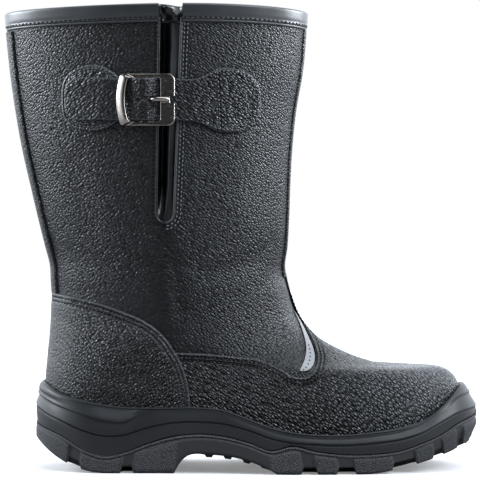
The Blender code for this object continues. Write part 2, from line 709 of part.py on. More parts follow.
def build_upper():
    """One hollow wall from the lasting edge to the collar, slit on its outer side."""
    levels, angles = MESH_LEVELS[:, None], ANGLES[None, :]
    outer = last_point(levels, angles)
    inner = shell_point(levels, angles, np.full(outer.shape[:2], -WALL))
    upper = layer_solid("upper", outer, inner, LEATHER, wrap=True)
    left, right = slit_edges(SLIT_LOW)
    top_left, top_right = slit_edges(SLIT_HIGH)
    r = SLIT_FOOT_ROUND
    turns = [math.radians(a) for a in (0, 30, 60, 90)]
    foot = [(left + r - r * math.cos(t), SLIT_LOW + r - r * math.sin(t)) for t in turns]
    foot += [
        (right - r + r * math.cos(t), SLIT_LOW + r - r * math.sin(t)) for t in turns[::-1]
    ]
    outline = foot + [(top_right, SLIT_HIGH), (top_left, SLIT_HIGH)]
    combine(upper, prism("slit_cutter", outline, -90.0, -20.0), "DIFFERENCE")


def panel_shell(name, levels, angles, thick, finish):
    """Sheet of the upper's own form lying just outside it, before its outline is cut."""
    grid = np.broadcast_shapes(levels[:, None].shape, angles[None, :].shape)
    size = (grid[0], len(angles))
    outer = shell_point(levels[:, None], angles[None, :], np.full(size, GAP + thick))
    inner = shell_point(levels[:, None], angles[None, :], np.full(size, GAP))
    return layer_solid(name, outer, inner, finish)


def level_range(first, last):
    """The upper's mesh levels from first to last."""
    return MESH_LEVELS[(MESH_LEVELS >= first) & (MESH_LEVELS <= last)]


def rim_outline(start, end, step=6.0):
    """Side-view points just above the sole's rim, between two places along the boot."""
    count = max(2, int(abs(end - start) / step))
    return [(x, float(sole_line("rim", x)) + 0.5) for x in np.linspace(start, end, count)]


def build_counter():
    """Heel counter wrapped round the heel."""
    angles = np.arange(-COUNTER_LAST, COUNTER_LAST + 1) * math.pi / SIDE_STEPS
    shell = panel_shell("heel_counter", level_range(*COUNTER_LEVELS), angles, OVERLAY, LEATHER)
    rim = rim_outline(-12.0, COUNTER_EDGE[-1][0])[::-1]
    edge = [point for point in COUNTER_EDGE if point[1] > rim[0][1] + 1.0]
    combine(shell, prism("counter_cutter", edge + rim, -90.0, 90.0), "INTERSECT")


def build_vamp():
    """Forefoot panel with its tongue up the instep, lapped by the counter at its rear."""
    angles = np.arange(VAMP_FIRST, 2 * SIDE_STEPS - VAMP_FIRST + 1) * math.pi / SIDE_STEPS
    shell = panel_shell("vamp", level_range(*VAMP_LEVELS), angles, OVERLAY, LEATHER)
    lap = [(x + 0.5, z) for x, z in COUNTER_EDGE if 44.0 < z < VAMP_START[1]]
    front = [(310.0, VAMP_EDGE[-1][1]), (310.0, 57.0)]
    rim = rim_outline(300.0, lap[-1][0] + 2.0)
    outline = [VAMP_START] + VAMP_EDGE + front + rim + lap[::-1]
    combine(shell, prism("vamp_cutter", drop_close(outline, 0.8), -90.0, 90.0), "INTERSECT")


def build_reflectors():
    """Grey reflective crescents between the shaft and the vamp's edge, one each side."""
    outline = REFLECTOR_INNER + REFLECTOR_OUTER
    levels = level_range(*REFLECTOR_LEVELS)
    for name, first, y_low, y_high in (
        ("reflector_lateral", SIDE_STEPS // 2, -90.0, -3.0),
        ("reflector_medial", SIDE_STEPS + 1, 5.0, 90.0),
    ):
        angles = np.arange(first, first + SIDE_STEPS // 2) * math.pi / SIDE_STEPS
        shell = panel_shell(name, levels, angles, REFLECTOR_THICK, REFLECTIVE)
        combine(shell, prism(name + "_cutter", outline, y_low, y_high), "INTERSECT")


def strip_levels(low, high):
    """The section levels between two levels, with both ends."""
    return np.array([low] + [level for level in MESH_LEVELS if low < level < high] + [high])


def build_seams():
    """Backstay up the rear of the shaft and the folded seam down its front."""
    back = np.arange(-BACKSTAY_STEPS, BACKSTAY_STEPS + 1) * math.pi / SIDE_STEPS
    panel_shell("backstay", strip_levels(BACKSTAY_LOW, BACKSTAY_HIGH), back, OVERLAY, LEATHER)
    front = math.pi + np.arange(-SEAM_STEPS, SEAM_STEPS + 1) * math.pi / SIDE_STEPS
    panel_shell("front_seam", strip_levels(SEAM_LOW, SEAM_HIGH), front, SEAM_THICK, LEATHER)


def build_binding():
    """Smooth strip folded over the collar's edge, from one side of the slit to the other."""
    s = SECTIONS[-1]
    left, right = slit_edges(s.back_z)
    share = lambda x: (x - s.back_x) / (s.front_x - s.back_x)
    start = math.acos(1 - 2 * share(right + 0.3))
    end = 2 * math.pi + math.acos(1 - 2 * share(left - 0.3))
    between = [a for a in np.concatenate([ANGLES, ANGLES + 2 * math.pi]) if start < a < end]
    angles = np.array(drop_close([(a, 0.0) for a in [start] + between], 0.05))[:, 0]
    angles = np.append(angles[angles < end - 0.05], end)
    top = last_point(np.full_like(angles, COLLAR), angles)
    under = last_point(np.full_like(angles, COLLAR - 0.2), angles)
    up = (top - under) / np.linalg.norm(top - under, axis=-1, keepdims=True)
    out = last_normal(np.full_like(angles, COLLAR), angles)
    thick, crest = BINDING_THICK, GAP + BINDING_THICK
    profile = [
        (GAP, -BINDING_HIGH),
        (GAP + thick, -BINDING_HIGH),
        (GAP + thick, 0.2),
        (GAP + 0.3 * thick, crest),
        (-WALL - GAP - 0.3 * thick, crest),
        (-WALL - GAP - thick, 0.2),
        (-WALL - GAP - thick, -BINDING_HIGH),
        (-WALL - GAP, -BINDING_HIGH),
        (-WALL - GAP, GAP),
        (GAP, GAP),
    ]
    rings = [[t + o * away + u * rise for away, rise in profile] for t, u, o in zip(top, up, out)]
    ring_solid("collar_binding", rings, SMOOTH_LEATHER)


def build_gusset():
    """Bellows behind the slit: wings inside the wall and a fold that opens towards the collar."""
    heights = np.array([159.0, 165.0, 172.0, 182.0, 200.0, 225.0, 250.0, 275.0, 290.0, 301.0])
    rows_out, rows_in = [], []
    for z in heights:
        left, right = slit_edges(max(z, SLIT_LOW))
        middle, half = (left + right) / 2, (right - left) / 2
        deep = GUSSET_FOLD * float(ease((z - SLIT_LOW) / 30.0))
        back = GUSSET_BEHIND_BINDING * float(ease((z - 270.0) / 18.0))
        xs = np.array(
            [
                left - GUSSET_WING,
                left - 0.5,
                middle - 0.55 * half,
                middle - 0.15 * half,
                middle + 0.25 * half,
                right + 0.5,
                right + GUSSET_WING,
            ]
        )
        fold = np.array([0.0, 0.0, 0.75, 1.0, 0.85, 0.0, 0.0]) * deep
        point, normal = side_face(xs, np.full_like(xs, z))
        depth = WALL + GAP + back + fold
        rows_out.append(point - normal * depth[:, None])
        rows_in.append(point - normal * (depth + GUSSET_THICK)[:, None])
    layer_solid("gusset", np.array(rows_out), np.array(rows_in), SMOOTH_LEATHER)


# Strap, tab and buckle


def strip_solid(name, rows, thick, finish):
    """Sheet along a path of x and rise above the shaft, with its lower and upper edges."""
    path = np.array([(row.x, row.rise) for row in rows])
    along = np.gradient(path, axis=0)
    along = along / np.linalg.norm(along, axis=-1, keepdims=True)
    across = np.stack([-along[:, 1], along[:, 0]], axis=-1)
    layers = []
    for side in (0.5, -0.5):
        layer = path + across * side * thick
        grid = []
        for (x, rise), row in zip(layer, rows):
            z = np.linspace(row.low, row.high, STRIP_ROWS)
            point, normal = side_face(np.full_like(z, x), z)
            grid.append(point + normal * rise)
        layers.append(np.array(grid))
    return layer_solid(name, layers[0], layers[1], finish)


def build_strap():
    """Wing and strap in one piece, with the hole that the prong comes through."""
    strap = strip_solid("strap", STRAP, STRAP_THICK, LEATHER)
    half = PRONG_HOLE_HIGH / 2
    low = (PRONG_HOLE_START, -70.0, BUCKLE_Z - half)
    high = (PRONG_HOLE_END, -30.0, BUCKLE_Z + half)
    combine(strap, box("prong_hole_cutter", low, high), "DIFFERENCE")


def build_tab():
    """Rear patch whose neck folds round the buckle's centre bar."""
    rows = list(TAB)
    radius = BAR_RADIUS + GAP + TAB_THICK / 2
    low, high = TAB[-1].low, TAB[-1].high
    for turn in np.linspace(-math.pi / 2, math.pi / 2, TAB_FOLD_STEPS + 1):
        x, rise = BAR_X + radius * math.cos(turn), BAR_RISE + radius * math.sin(turn)
        rows.append(StripRow(x, rise, low, high))
    strip_solid("buckle_tab", rows, TAB_THICK, LEATHER)


def buckle_frame():
    """Origin and axes of the buckle's plane: along the strap, up the shaft and outward."""
    point, out = side_face(BUCKLE_X, BUCKLE_Z)
    up = np.array([0.0, 0.0, 1.0]) - out * out[2]
    up = up / np.linalg.norm(up)
    along = np.cross(up, out)
    along = along if along[0] > 0 else -along
    return point, along, up, out


def rounded_loop(left, right, low, high, radius, bow):
    """Closed outline with round corners, whose left side bows outwards."""
    corners = [
        (left + radius, low + radius, 180.0),
        (right - radius, low + radius, 270.0),
        (right - radius, high - radius, 0.0),
        (left + radius, high - radius, 90.0),
    ]
    points = []
    for x, z, start in corners:
        for step in range(BUCKLE_CORNER_STEPS + 1):
            turn = math.radians(start + 90.0 * step / BUCKLE_CORNER_STEPS)
            points.append((x + radius * math.cos(turn), z + radius * math.sin(turn)))
        points += [None] * BUCKLE_SIDE_STEPS
    count = len(points)
    for i in [i for i in range(count) if points[i] is None]:
        before = next(k for k in range(i, -1, -1) if points[k] is not None and k < i)
        after = next(k for k in range(i + 1, 2 * count) if points[k % count] is not None)
        (x0, z0), (x1, z1) = points[before], points[after % count]
        share = 1.0 / (after - before)
        points[i] = (x0 + (x1 - x0) * share, z0 + (z1 - z0) * share)
        points[i] = tuple(float(value) for value in points[i])
    middle, half = (low + high) / 2, (high - low) / 2
    near_left = lambda x: max(0.0, 1 - (x - left) / (radius + 4.0))
    return [(x - bow * near_left(x) * (1 - ((z - middle) / half) ** 2), z) for x, z in points]


def build_buckle():
    """Frame with a bowed end bar, a wide plate with the prong's notch, and a centre bar."""
    point, along, up, out = buckle_frame()
    place = lambda x, z, rise: point + along * x + up * z + out * rise
    half_long, half_high = BUCKLE_LONG / 2, BUCKLE_HIGH / 2
    outer = rounded_loop(-half_long, half_long, -half_high, half_high, BUCKLE_ROUND, END_BAR_BOW)
    window = (-half_long + END_BAR, half_long - PLATE, SIDE_RAIL - half_high, half_high - SIDE_RAIL)
    inner = rounded_loop(*window, WINDOW_ROUND, END_BAR_BOW * 0.6)
    rings = []
    for (xo, zo), (xi, zi) in zip(outer, inner):
        lift = END_BAR_LIFT * float(ease((-half_long + END_BAR + 1.5 - (xo + xi) / 2) / END_BAR))
        low, top = BUCKLE_LOW + 0.3 * lift, BUCKLE_TOP + lift
        mix = lambda share: (xo + (xi - xo) * share, zo + (zi - zo) * share)
        edge = BUCKLE_BEVEL / math.dist((xo, zo), (xi, zi))
        rings.append(
            [
                place(*mix(0.0), low),
                place(*mix(0.0), top - BUCKLE_BEVEL),
                place(*mix(edge), top),
                place(*mix(1 - edge), top),
                place(*mix(1.0), top - BUCKLE_BEVEL),
                place(*mix(1.0), low),
            ]
        )
    frame = ring_solid("buckle", rings, POLISHED_METAL, closed_path=True)
    reach = half_high - 0.5 * SIDE_RAIL
    x = BAR_X - BUCKLE_X
    turns = np.linspace(0, 2 * math.pi, 12, endpoint=False)
    bar = [
        [
            place(x + BAR_RADIUS * math.cos(t), z, BAR_RISE + BAR_RADIUS * math.sin(t))
            for t in turns
        ]
        for z in (-reach, reach)
    ]
    combine(frame, ring_solid("centre_bar_form", bar, None), "UNION")

    def block(name, x0, x1, height, low, high):
        corners = [(x0, -height / 2), (x1, -height / 2), (x1, height / 2), (x0, height / 2)]
        ends = [[place(*corner, rise) for corner in corners] for rise in (low, high)]
        return ring_solid(name, ends, None)

    notch = block("notch_cutter", half_long - NOTCH_LONG, half_long + 3, NOTCH_HIGH, 0.0, 9.0)
    combine(frame, notch, "DIFFERENCE")
    channel = block(
        "channel_cutter",
        half_long - PLATE - 2,
        half_long,
        CHANNEL_HIGH,
        BUCKLE_TOP - CHANNEL_DEEP,
        9.0,
    )
    combine(frame, channel, "DIFFERENCE")


def build_prong():
    """Tapered pin from beside the centre bar, up through the strap, down to the plate."""
    point, along, up, out = buckle_frame()
    rings = []
    path = np.array([(row.x - BUCKLE_X, row.rise) for row in PRONG])
    heading = np.gradient(path, axis=0)
    heading = heading / np.linalg.norm(heading, axis=-1, keepdims=True)
    turns = np.linspace(0, 2 * math.pi, PRONG_SIDES, endpoint=False)
    for (x, rise), (ax, arise), row in zip(path, heading, PRONG):
        centre = point + along * x + out * rise
        side = out * ax - along * arise
        rings.append(
            [centre + row.radius * (side * math.cos(t) + up * math.sin(t)) for t in turns]
        )
    ring_solid("prong", rings, POLISHED_METAL)


def main():
    for obj in list(bpy.data.objects):
        bpy.data.objects.remove(obj)
    boot = bpy.data.objects.new("boot", None)
    bpy.context.scene.collection.objects.link(boot)
    plan = SolePlan()
    build_outsole(plan)
    build_midsole(plan)
    build_insole()
    build_upper()
    build_counter()
    build_vamp()
    build_reflectors()
    build_seams()
    build_binding()
    build_gusset()
    build_tab()
    build_strap()
    build_buckle()
    build_prong()


main()
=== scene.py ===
import math

import bmesh
import bpy
import numpy as np
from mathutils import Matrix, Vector


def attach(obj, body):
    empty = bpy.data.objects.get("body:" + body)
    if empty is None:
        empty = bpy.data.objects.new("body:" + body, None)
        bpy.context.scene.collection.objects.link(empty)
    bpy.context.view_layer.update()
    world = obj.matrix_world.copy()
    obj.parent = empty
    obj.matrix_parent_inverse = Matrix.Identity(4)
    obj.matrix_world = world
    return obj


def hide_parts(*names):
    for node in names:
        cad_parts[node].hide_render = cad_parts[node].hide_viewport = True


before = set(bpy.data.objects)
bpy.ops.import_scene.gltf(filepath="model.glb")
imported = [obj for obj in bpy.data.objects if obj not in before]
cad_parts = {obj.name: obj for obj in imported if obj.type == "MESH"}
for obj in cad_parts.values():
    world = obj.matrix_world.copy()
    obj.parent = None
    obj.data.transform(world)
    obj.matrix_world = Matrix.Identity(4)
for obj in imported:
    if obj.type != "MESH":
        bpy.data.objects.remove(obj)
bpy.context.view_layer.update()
print("solids loaded")

# Camera first: the outer side of the boot, square on, from about ankle height

view = {
    "place": (138.5, -1350.0, 160.0),  # mm from the heel's back, the middle plane and the floor
    "target": (138.5, 0.0, 153.3),
    "lens": 148.6,
}
origin = np.array([139.9, 1.5, 0.0])  # middle of the boot's box, mm from the heel's back


def toFrame(points):
    # millimetres from the heel's back to metres in the shared frame
    return (np.asarray(points, float) - origin) * 0.001


cameraData = bpy.data.cameras.new("camera")
cameraData.lens = view["lens"]
cameraData.sensor_width = 36.0
camera = bpy.data.objects.new("camera", cameraData)
bpy.context.scene.collection.objects.link(camera)
camera.location = Vector(toFrame(view["place"]))
aim = Vector(toFrame(view["target"])) - camera.location
camera.rotation_euler = aim.to_track_quat("-Z", "Y").to_euler()
bpy.context.scene.camera = camera
print("camera placed")


# Shader arithmetic


class Wire:
    # wraps a node socket, so that sums of sockets and numbers add their own Math nodes

    def __init__(self, tree, socket=None):
        self.tree = tree
        self.socket = socket

    def make(self, kind, settings=None, sockets=None, out=0):
        # any node: its settings first, ramp stops among them, then socket values or links
        node = self.tree.nodes.new("ShaderNode" + kind)
        for key, value in (settings or {}).items():
            if key == "stops":
                elements = node.color_ramp.elements
                for element, stop in zip((elements[0], elements[-1]), (value[0], value[-1])):
                    element.position, element.color = stop
                for place, colour in value[1:-1]:
                    elements.new(place).color = colour
            else:
                setattr(node, key, value)
        for key, value in (sockets or {}).items():
            if isinstance(value, Wire):
                self.tree.links.new(value.socket, node.inputs[key])
            else:
                node.inputs[key].default_value = value
        return Wire(self.tree, node.outputs[out])

    def sum(self, operation, first, second):
        return self.make("Math", {"operation": operation}, {0: first, 1: second})

    def __add__(self, other):
        return self.sum("ADD", self, other)

    def __sub__(self, other):
        return self.sum("SUBTRACT", self, other)

    def __rsub__(self, other):
        return self.sum("SUBTRACT", other, self)

    def __mul__(self, other):
        return self.sum("MULTIPLY", self, other)

    def __truediv__(self, other):
        return self.sum("DIVIDE", self, other)

    def __rtruediv__(self, other):
        return self.sum("DIVIDE", other, self)

    def __pow__(self, other):
        return self.sum("POWER", self, other)

    __radd__ = __add__
    __rmul__ = __mul__

    def soft(self, low, high):
        # smooth step from 0 at low to 1 at high
        settings = {"interpolation_type": "SMOOTHSTEP"}
        return self.make("MapRange", settings, {0: self, 1: low, 2: high})

    def ramp(self, low, high):
        # straight line from 0 at low to 1 at high, held outside
        return self.make("MapRange", None, {0: self, 1: low, 2: high})

    def blend(self, first, second):
        # colour that goes from first to second as this value goes from 0 to 1
        return self.make("Mix", {"data_type": "RGBA"}, {0: self, 6: first, 7: second}, 2)


def newFinish(name):
    # empty material, its Principled shader and its Object coordinates to build on
    material = bpy.data.materials.new(name)
    material.use_nodes = True
    shader = material.node_tree.nodes["Principled BSDF"]
    return material, shader, Wire(material.node_tree).make("TexCoord", out="Object")


def feed(shader, **sockets):
    # links or sets the shader's sockets, named without their blanks
    names = {socket.name.replace(" ", ""): socket for socket in shader.inputs}
    for key, value in sockets.items():
        if isinstance(value, Wire):
            value.tree.links.new(value.socket, names[key])
        else:
            names[key].default_value = value


def grey(red, green, blue):
    # colour with full opacity
    return (red, green, blue, 1.0)


def noise(place, scale, detail, out="Fac"):
    # layered noise, its scale in waves per metre
    return place.make("TexNoise", None, {"Vector": place, "Scale": scale, "Detail": detail}, out)


def cellular(cells, out="Distance", feature="F1"):
    # Voronoi cells, their sockets given as a dictionary
    return cells["Vector"].make("TexVoronoi", {"feature": feature}, cells, out)


def coordinate(place, axis):
    # one coordinate of a point
    return place.make("SeparateXYZ", None, {0: place}, axis)


def attribute(place, name):
    # value that a piece keeps for each of its points, 0 where it keeps none
    return place.make("Attribute", {"attribute_name": name}, out="Fac")


def bumped(height, distance):
    # normal tilted by a height map, distance in millimetres
    return height.make("Bump", None, {"Height": height, "Distance": distance * 0.001, "Strength": 1.0})


grain = {
    "sway": (330.0, 2.0),  # noise that warps the cells: waves per metre and detail
    "drift": (45.0, 3.0),  # slow change of shade and gloss
    "pore": (2600.0, 3.0),
    "innerSide": 0.0003,  # m on either side of the middle plane where folded lines turn plain
    "ridgeRound": 0.000012,  # m squared, rounds the fold at the ridge
    "small": 2.4,  # how many times smaller the small pebbles are
    "toeRun": (0.045, 0.105),  # x in m over which painted light makes the toe paler
    # painted shade inside the strap's punched hole and the prong's slot
    "holeColour": grey(0.001, 0.001, 0.001),
}


def grainedLeather(name, look):
    # pebbles are round caps on Voronoi cells of warped Object coordinates: one less the square of
    # the distance to the cell's own point, with small pebbles over them, pressed flat where the
    # piece's press attribute is 1; the cells are longest along lines that fall away on both sides of
    # the ridge, a plane across the boot's outer side. Shade is painted into the colour: the lines
    # between the cells are painted dark and dull, and the caps' flanks darker than their tops; a
    # painted highlight runs along the edges where the rim attribute is 1, painted shade fills the
    # punched hole, and painted light makes the toe paler
    material, shader, place = newFinish(name)
    forward, depth, upward = [coordinate(place, axis) for axis in "XYZ"]
    ridge = forward - look["ridge"]
    inner = depth.soft(-grain["innerSide"], grain["innerSide"])
    folded = (ridge * ridge + grain["ridgeRound"]) ** 0.5
    lined = {"X": folded * (1 - inner) + ridge * inner, "Y": depth, "Z": upward}
    turned = {
        "Vector": place.make("CombineXYZ", None, lined),
        "Rotation": (0.0, look["turn"], 0.0),
        "Scale": look["stretch"],
    }
    warp = {
        0: noise(place, *grain["sway"], "Color"),
        1: (look["warp"],) * 3,
        2: place.make("Mapping", {"vector_type": "TEXTURE"}, turned),
    }
    spot = place.make("VectorMath", {"operation": "MULTIPLY_ADD"}, warp)
    cells = {"Vector": spot, "Scale": 1000.0 / look["cell"], "Randomness": look["loose"]}
    away = cellular(cells)
    own = place.make("SeparateColor", None, {0: cellular(cells, "Color")})
    fine = cellular(dict(cells, Scale=grain["small"] * cells["Scale"]))
    line = cellular(cells, "Distance", "DISTANCE_TO_EDGE").ramp(0.0, look["valley"])
    drift, pore = noise(place, *grain["drift"]), noise(place, *grain["pore"])
    press = attribute(place, "press")
    cap = 1 - away * away
    height = cap * (own * 0.5 + 0.75) + line * 0.06 - fine * fine * 0.05 + pore * 0.02
    normal = bumped(height * (1 - press * 0.8), look["deep"])
    # painted shade: the colour darkens into the lines between the cells and down the caps' flanks; the
    # cells' own tone and the slow drift vary it at random
    shade = line * (cap * 0.6 + own * 0.4) * (drift * 0.8 + 0.6)
    top = look["topColour"]
    # painted light: towards the toe the colour turns paler
    ahead = forward.soft(*grain["toeRun"]).blend(top, look.get("toeColour", top))
    colour = shade.blend(look["valleyColour"], ahead)
    # painted highlight along the edges and round the hole
    colour = attribute(place, "rim").blend(colour, look["rimColour"])
    # painted shade in the hole and the slot
    colour = attribute(place, "hole").blend(colour, grain["holeColour"])
    rough = look["rough"] + (1 - line) * 0.25 + (drift - 0.5) * 0.16 - press * 0.04
    # painted shade: the lines between the cells lose their gloss
    dull = (1 - line) * (1 - press) * look["dull"]  # a dark metal share takes the gloss off the lines
    feed(shader, BaseColor=colour, Roughness=rough, Metallic=dull, Normal=normal)
    feed(shader, SpecularIORLevel=look["specular"])
    return material


def smoothLeather(name, look):
    # plain finished leather: satin, with faint pores and a slow change of gloss
    material, shader, place = newFinish(name)
    slow, pore, fold = noise(place, 60.0, 4.0), noise(place, 1500.0, 3.0), noise(place, look["fold"], 2.0)
    colour = attribute(place, "pale").blend(slow.blend(look["dark"], look["light"]), look["pale"])
    rough = look["rough"] + (slow - 0.5) * 0.2 + (pore - 0.5) * 0.08
    feed(shader, BaseColor=colour, Roughness=rough, Normal=bumped(pore * 0.25 + fold, look["deep"]))
    feed(shader, CoatWeight=look["coat"], CoatRoughness=0.22)
    return material


def mouldedSole(name, look):
    # moulded compound: satin skin with faint flow marks
    material, shader, place = newFinish(name)
    slow, skin = noise(place, 40.0, 4.0), noise(place, 900.0, 4.0)
    colour = slow.blend(look["dark"], look["light"])
    rough = look["rough"] + (slow - 0.5) * 0.14 + (skin - 0.5) * 0.1
    feed(shader, BaseColor=colour, Roughness=rough, Normal=bumped(skin, look["deep"]))
    return material


def stippledTread(name, look):
    # moulded stipple where the stipple attribute is 1, smooth in the gaps, with a painted highlight along
    # the bead's crest
    material, shader, place = newFinish(name)
    slow, skin = noise(place, 50.0, 4.0), noise(place, 1900.0, 3.0)
    dots = cellular({"Vector": place, "Scale": 1000.0 / look["cell"]})
    rise = (1 - dots).soft(0.25, 0.85) * attribute(place, "stipple")
    base = slow.blend(look["dark"], look["light"])
    # painted highlight: paler where the crest attribute is 1
    colour = (rise * 0.5 + attribute(place, "crest") * (rise * 0.3 + 0.34)).blend(base, look["speck"])
    rough = look["rough"] + (slow - 0.5) * 0.12 - rise * 0.1
    feed(shader, BaseColor=colour, Roughness=rough, Normal=bumped(rise + skin * 0.3, look["deep"]))
    return material


def plainMetal(name, look):
    # polished plate: even reflection with fine hairlines and slightly dull spots
    material, shader, place = newFinish(name)
    spots = noise(place, 400.0, 5.0)
    lines = place.make("Mapping", None, {"Vector": place, "Scale": (120.0, 120.0, 4200.0)})
    hair = noise(lines, 1.0, 2.0)
    colour = spots.blend(look["dark"], look["light"])
    rough = look["rough"] + spots.soft(0.5, 0.8) * 0.1 + hair * 0.04
    feed(shader, BaseColor=colour, Roughness=rough, Normal=bumped(hair, 0.004), Metallic=1.0)
    return material


def wovenThread(name, look):
    # twisted thread: fine slanted lines across Object coordinates
    material, shader, place = newFinish(name)
    twist = place.make("Mapping", None, {"Vector": place, "Rotation": (0.6, 0.5, 0.4)})
    strand = place.make("TexWave", None, {"Vector": twist, "Scale": 900.0, "Distortion": 1.0}, "Fac")
    colour = strand.blend(look["dark"], look["light"])
    feed(shader, BaseColor=colour, Roughness=0.62, Normal=bumped(strand, 0.08))
    feed(shader, SpecularIORLevel=look["specular"])
    return material


def reflectiveFilm(name, look):
    # grey film with a row of fine pressed dots, laid out on the piece's own UV map: millimetres
    # along it, shares across it
    material, shader, place = newFinish(name)
    flat = place.make("UVMap", {"uv_map": "film"})
    along, across = coordinate(flat, "X"), coordinate(flat, "Y") - 0.5
    slow = noise(place, 300.0, 3.0)
    off = place.make("Math", {"operation": "FRACT"}, {0: along * look["pitch"]}) - 0.5
    reach = off * off / look["pitch"] ** 2 + across * across * look["wide"] ** 2
    size = look["dot"] ** 2
    dot = (1 - reach.soft(size * 0.4, size)) * along.soft(look["from"], look["from"] + 1)
    colour = dot.blend(slow.blend(look["dark"], look["light"]), look["dotColour"])
    normal = bumped(1 - dot + slow * 0.2, 0.2)
    feed(shader, BaseColor=colour, Roughness=0.36 + slow * 0.2, Normal=normal)
    return material


def feltCloth(name, look):
    # short tangled fibres: layered noise in colour and height
    material, shader, place = newFinish(name)
    fuzz, cloud = noise(place, 1200.0, 5.0), noise(place, 90.0, 3.0)
    colour = (fuzz * 0.6 + cloud * 0.4).blend(look["dark"], look["light"])
    rough = 0.92 + (fuzz - 0.5) * 0.1
    feed(shader, BaseColor=colour, Roughness=rough, Normal=bumped(fuzz, 0.4))
    return material


leatherLook = {  # what the grained leathers share; cell and deep are in mm, warp and ridge in m
    "warp": 0.0007, "ridge": -0.051, "loose": 0.85, "dull": 0.75,
    # rim colour is a painted highlight along the pieces' edges, valley colour is painted shade between
    # the cells
    "rimColour": grey(0.05, 0.053, 0.058), "valleyColour": grey(0.001, 0.0012, 0.0015),
}
finishLooks = {
    "shaft": dict(
        leatherLook, cell=1.5, stretch=(1.6, 1.0, 0.84), turn=0.62, warp=0.0008, valley=0.19, deep=0.6,
        rough=0.31, specular=0.5, dull=0.65, topColour=grey(0.009, 0.0104, 0.0124),
    ),
    "vamp": dict(
        leatherLook, cell=1.8, stretch=(1.9, 1.0, 0.82), turn=0.74, valley=0.26, deep=2.0, rough=0.24,
        # toe colour: painted light that makes the toe paler
        specular=0.66, topColour=grey(0.006, 0.007, 0.0086), toeColour=grey(0.09, 0.096, 0.107),
    ),
    "wing": dict(
        leatherLook, cell=1.8, stretch=(1.8, 1.0, 0.82), turn=0.62, valley=0.23, deep=1.2, rough=0.26,
        specular=0.47, topColour=grey(0.011, 0.0125, 0.0146), valleyColour=grey(0.0008, 0.001, 0.0013),
    ),
    "smooth": {
        "dark": grey(0.021, 0.0225, 0.0245), "light": grey(0.034, 0.036, 0.039),
        "rough": 0.36, "deep": 0.08, "fold": 130.0, "coat": 0.25, "pale": grey(0.03, 0.032, 0.035),
    },
    "piping": {
        "dark": grey(0.036, 0.0375, 0.041), "light": grey(0.052, 0.054, 0.058),
        "rough": 0.4, "deep": 0.05, "fold": 130.0, "coat": 0.1, "pale": grey(0.03, 0.032, 0.035),
    },
    "gusset": {
        "dark": grey(0.003, 0.0034, 0.004), "light": grey(0.006, 0.0067, 0.0078),
        "rough": 0.3, "deep": 0.35, "fold": 120.0, "coat": 0.2, "pale": grey(0.085, 0.088, 0.094),
    },
    "midsole": {
        "dark": grey(0.0099, 0.0107, 0.0122), "light": grey(0.0172, 0.0184, 0.0207),
        "rough": 0.43, "deep": 0.03,
    },
    "tread": {
        "dark": grey(0.017, 0.0174, 0.0193), "light": grey(0.025, 0.0256, 0.0282),
        "speck": grey(0.075, 0.0757, 0.0805), "cell": 0.8, "rough": 0.6, "deep": 0.38,
    },
    "metal": {"dark": grey(0.35, 0.315, 0.288), "light": grey(0.49, 0.44, 0.402), "rough": 0.2},
    "thread": {"dark": grey(0.07, 0.073, 0.08), "light": grey(0.22, 0.228, 0.245), "specular": 0.4},
    "darkThread": {
        "dark": grey(0.0015, 0.0016, 0.0018), "light": grey(0.005, 0.0052, 0.0056), "specular": 0.1,
    },
    "film": {
        "dark": grey(0.22, 0.223, 0.23), "light": grey(0.3, 0.303, 0.31),
        "dotColour": grey(0.02, 0.02, 0.022), "pitch": 0.42, "wide": 6.0, "dot": 0.62, "from": 24.0,
    },
    "lining": {"dark": grey(0.05, 0.05, 0.052), "light": grey(0.12, 0.12, 0.125)},
    "footbed": {"dark": grey(0.08, 0.08, 0.082), "light": grey(0.17, 0.17, 0.175)},
}
heelLook = dict(finishLooks["vamp"], ridge=0.2, cell=1.4, deep=1.25)
tabLook = dict(finishLooks["wing"], specular=0.85, rough=0.28)
shaftLeather = grainedLeather("grained leather, shaft", finishLooks["shaft"])
vampLeather = grainedLeather("grained leather, vamp", finishLooks["vamp"])
heelLeather = grainedLeather("grained leather, heel", heelLook)
wingLeather = grainedLeather("grained leather, wing", finishLooks["wing"])
tabLeather = grainedLeather("grained leather, tab", tabLook)
trimLeather = smoothLeather("smooth trim", finishLooks["smooth"])
pipingLeather = smoothLeather("piping trim", finishLooks["piping"])
gussetLeather = smoothLeather("gusset trim", finishLooks["gusset"])
soleCompound = mouldedSole("sole compound", finishLooks["midsole"])
treadCompound = stippledTread("tread compound", finishLooks["tread"])
buckleMetal = plainMetal("buckle metal", finishLooks["metal"])
seamThread = wovenThread("seam thread", finishLooks["thread"])
darkThread = wovenThread("dark thread", finishLooks["darkThread"])
crescentFilm = reflectiveFilm("crescent film", finishLooks["film"])
liningCloth = feltCloth("lining", finishLooks["lining"])
footbedFelt = feltCloth("footbed felt", finishLooks["footbed"])
print("finishes made")


# The last: sections from the lasting edge to the collar, in millimetres

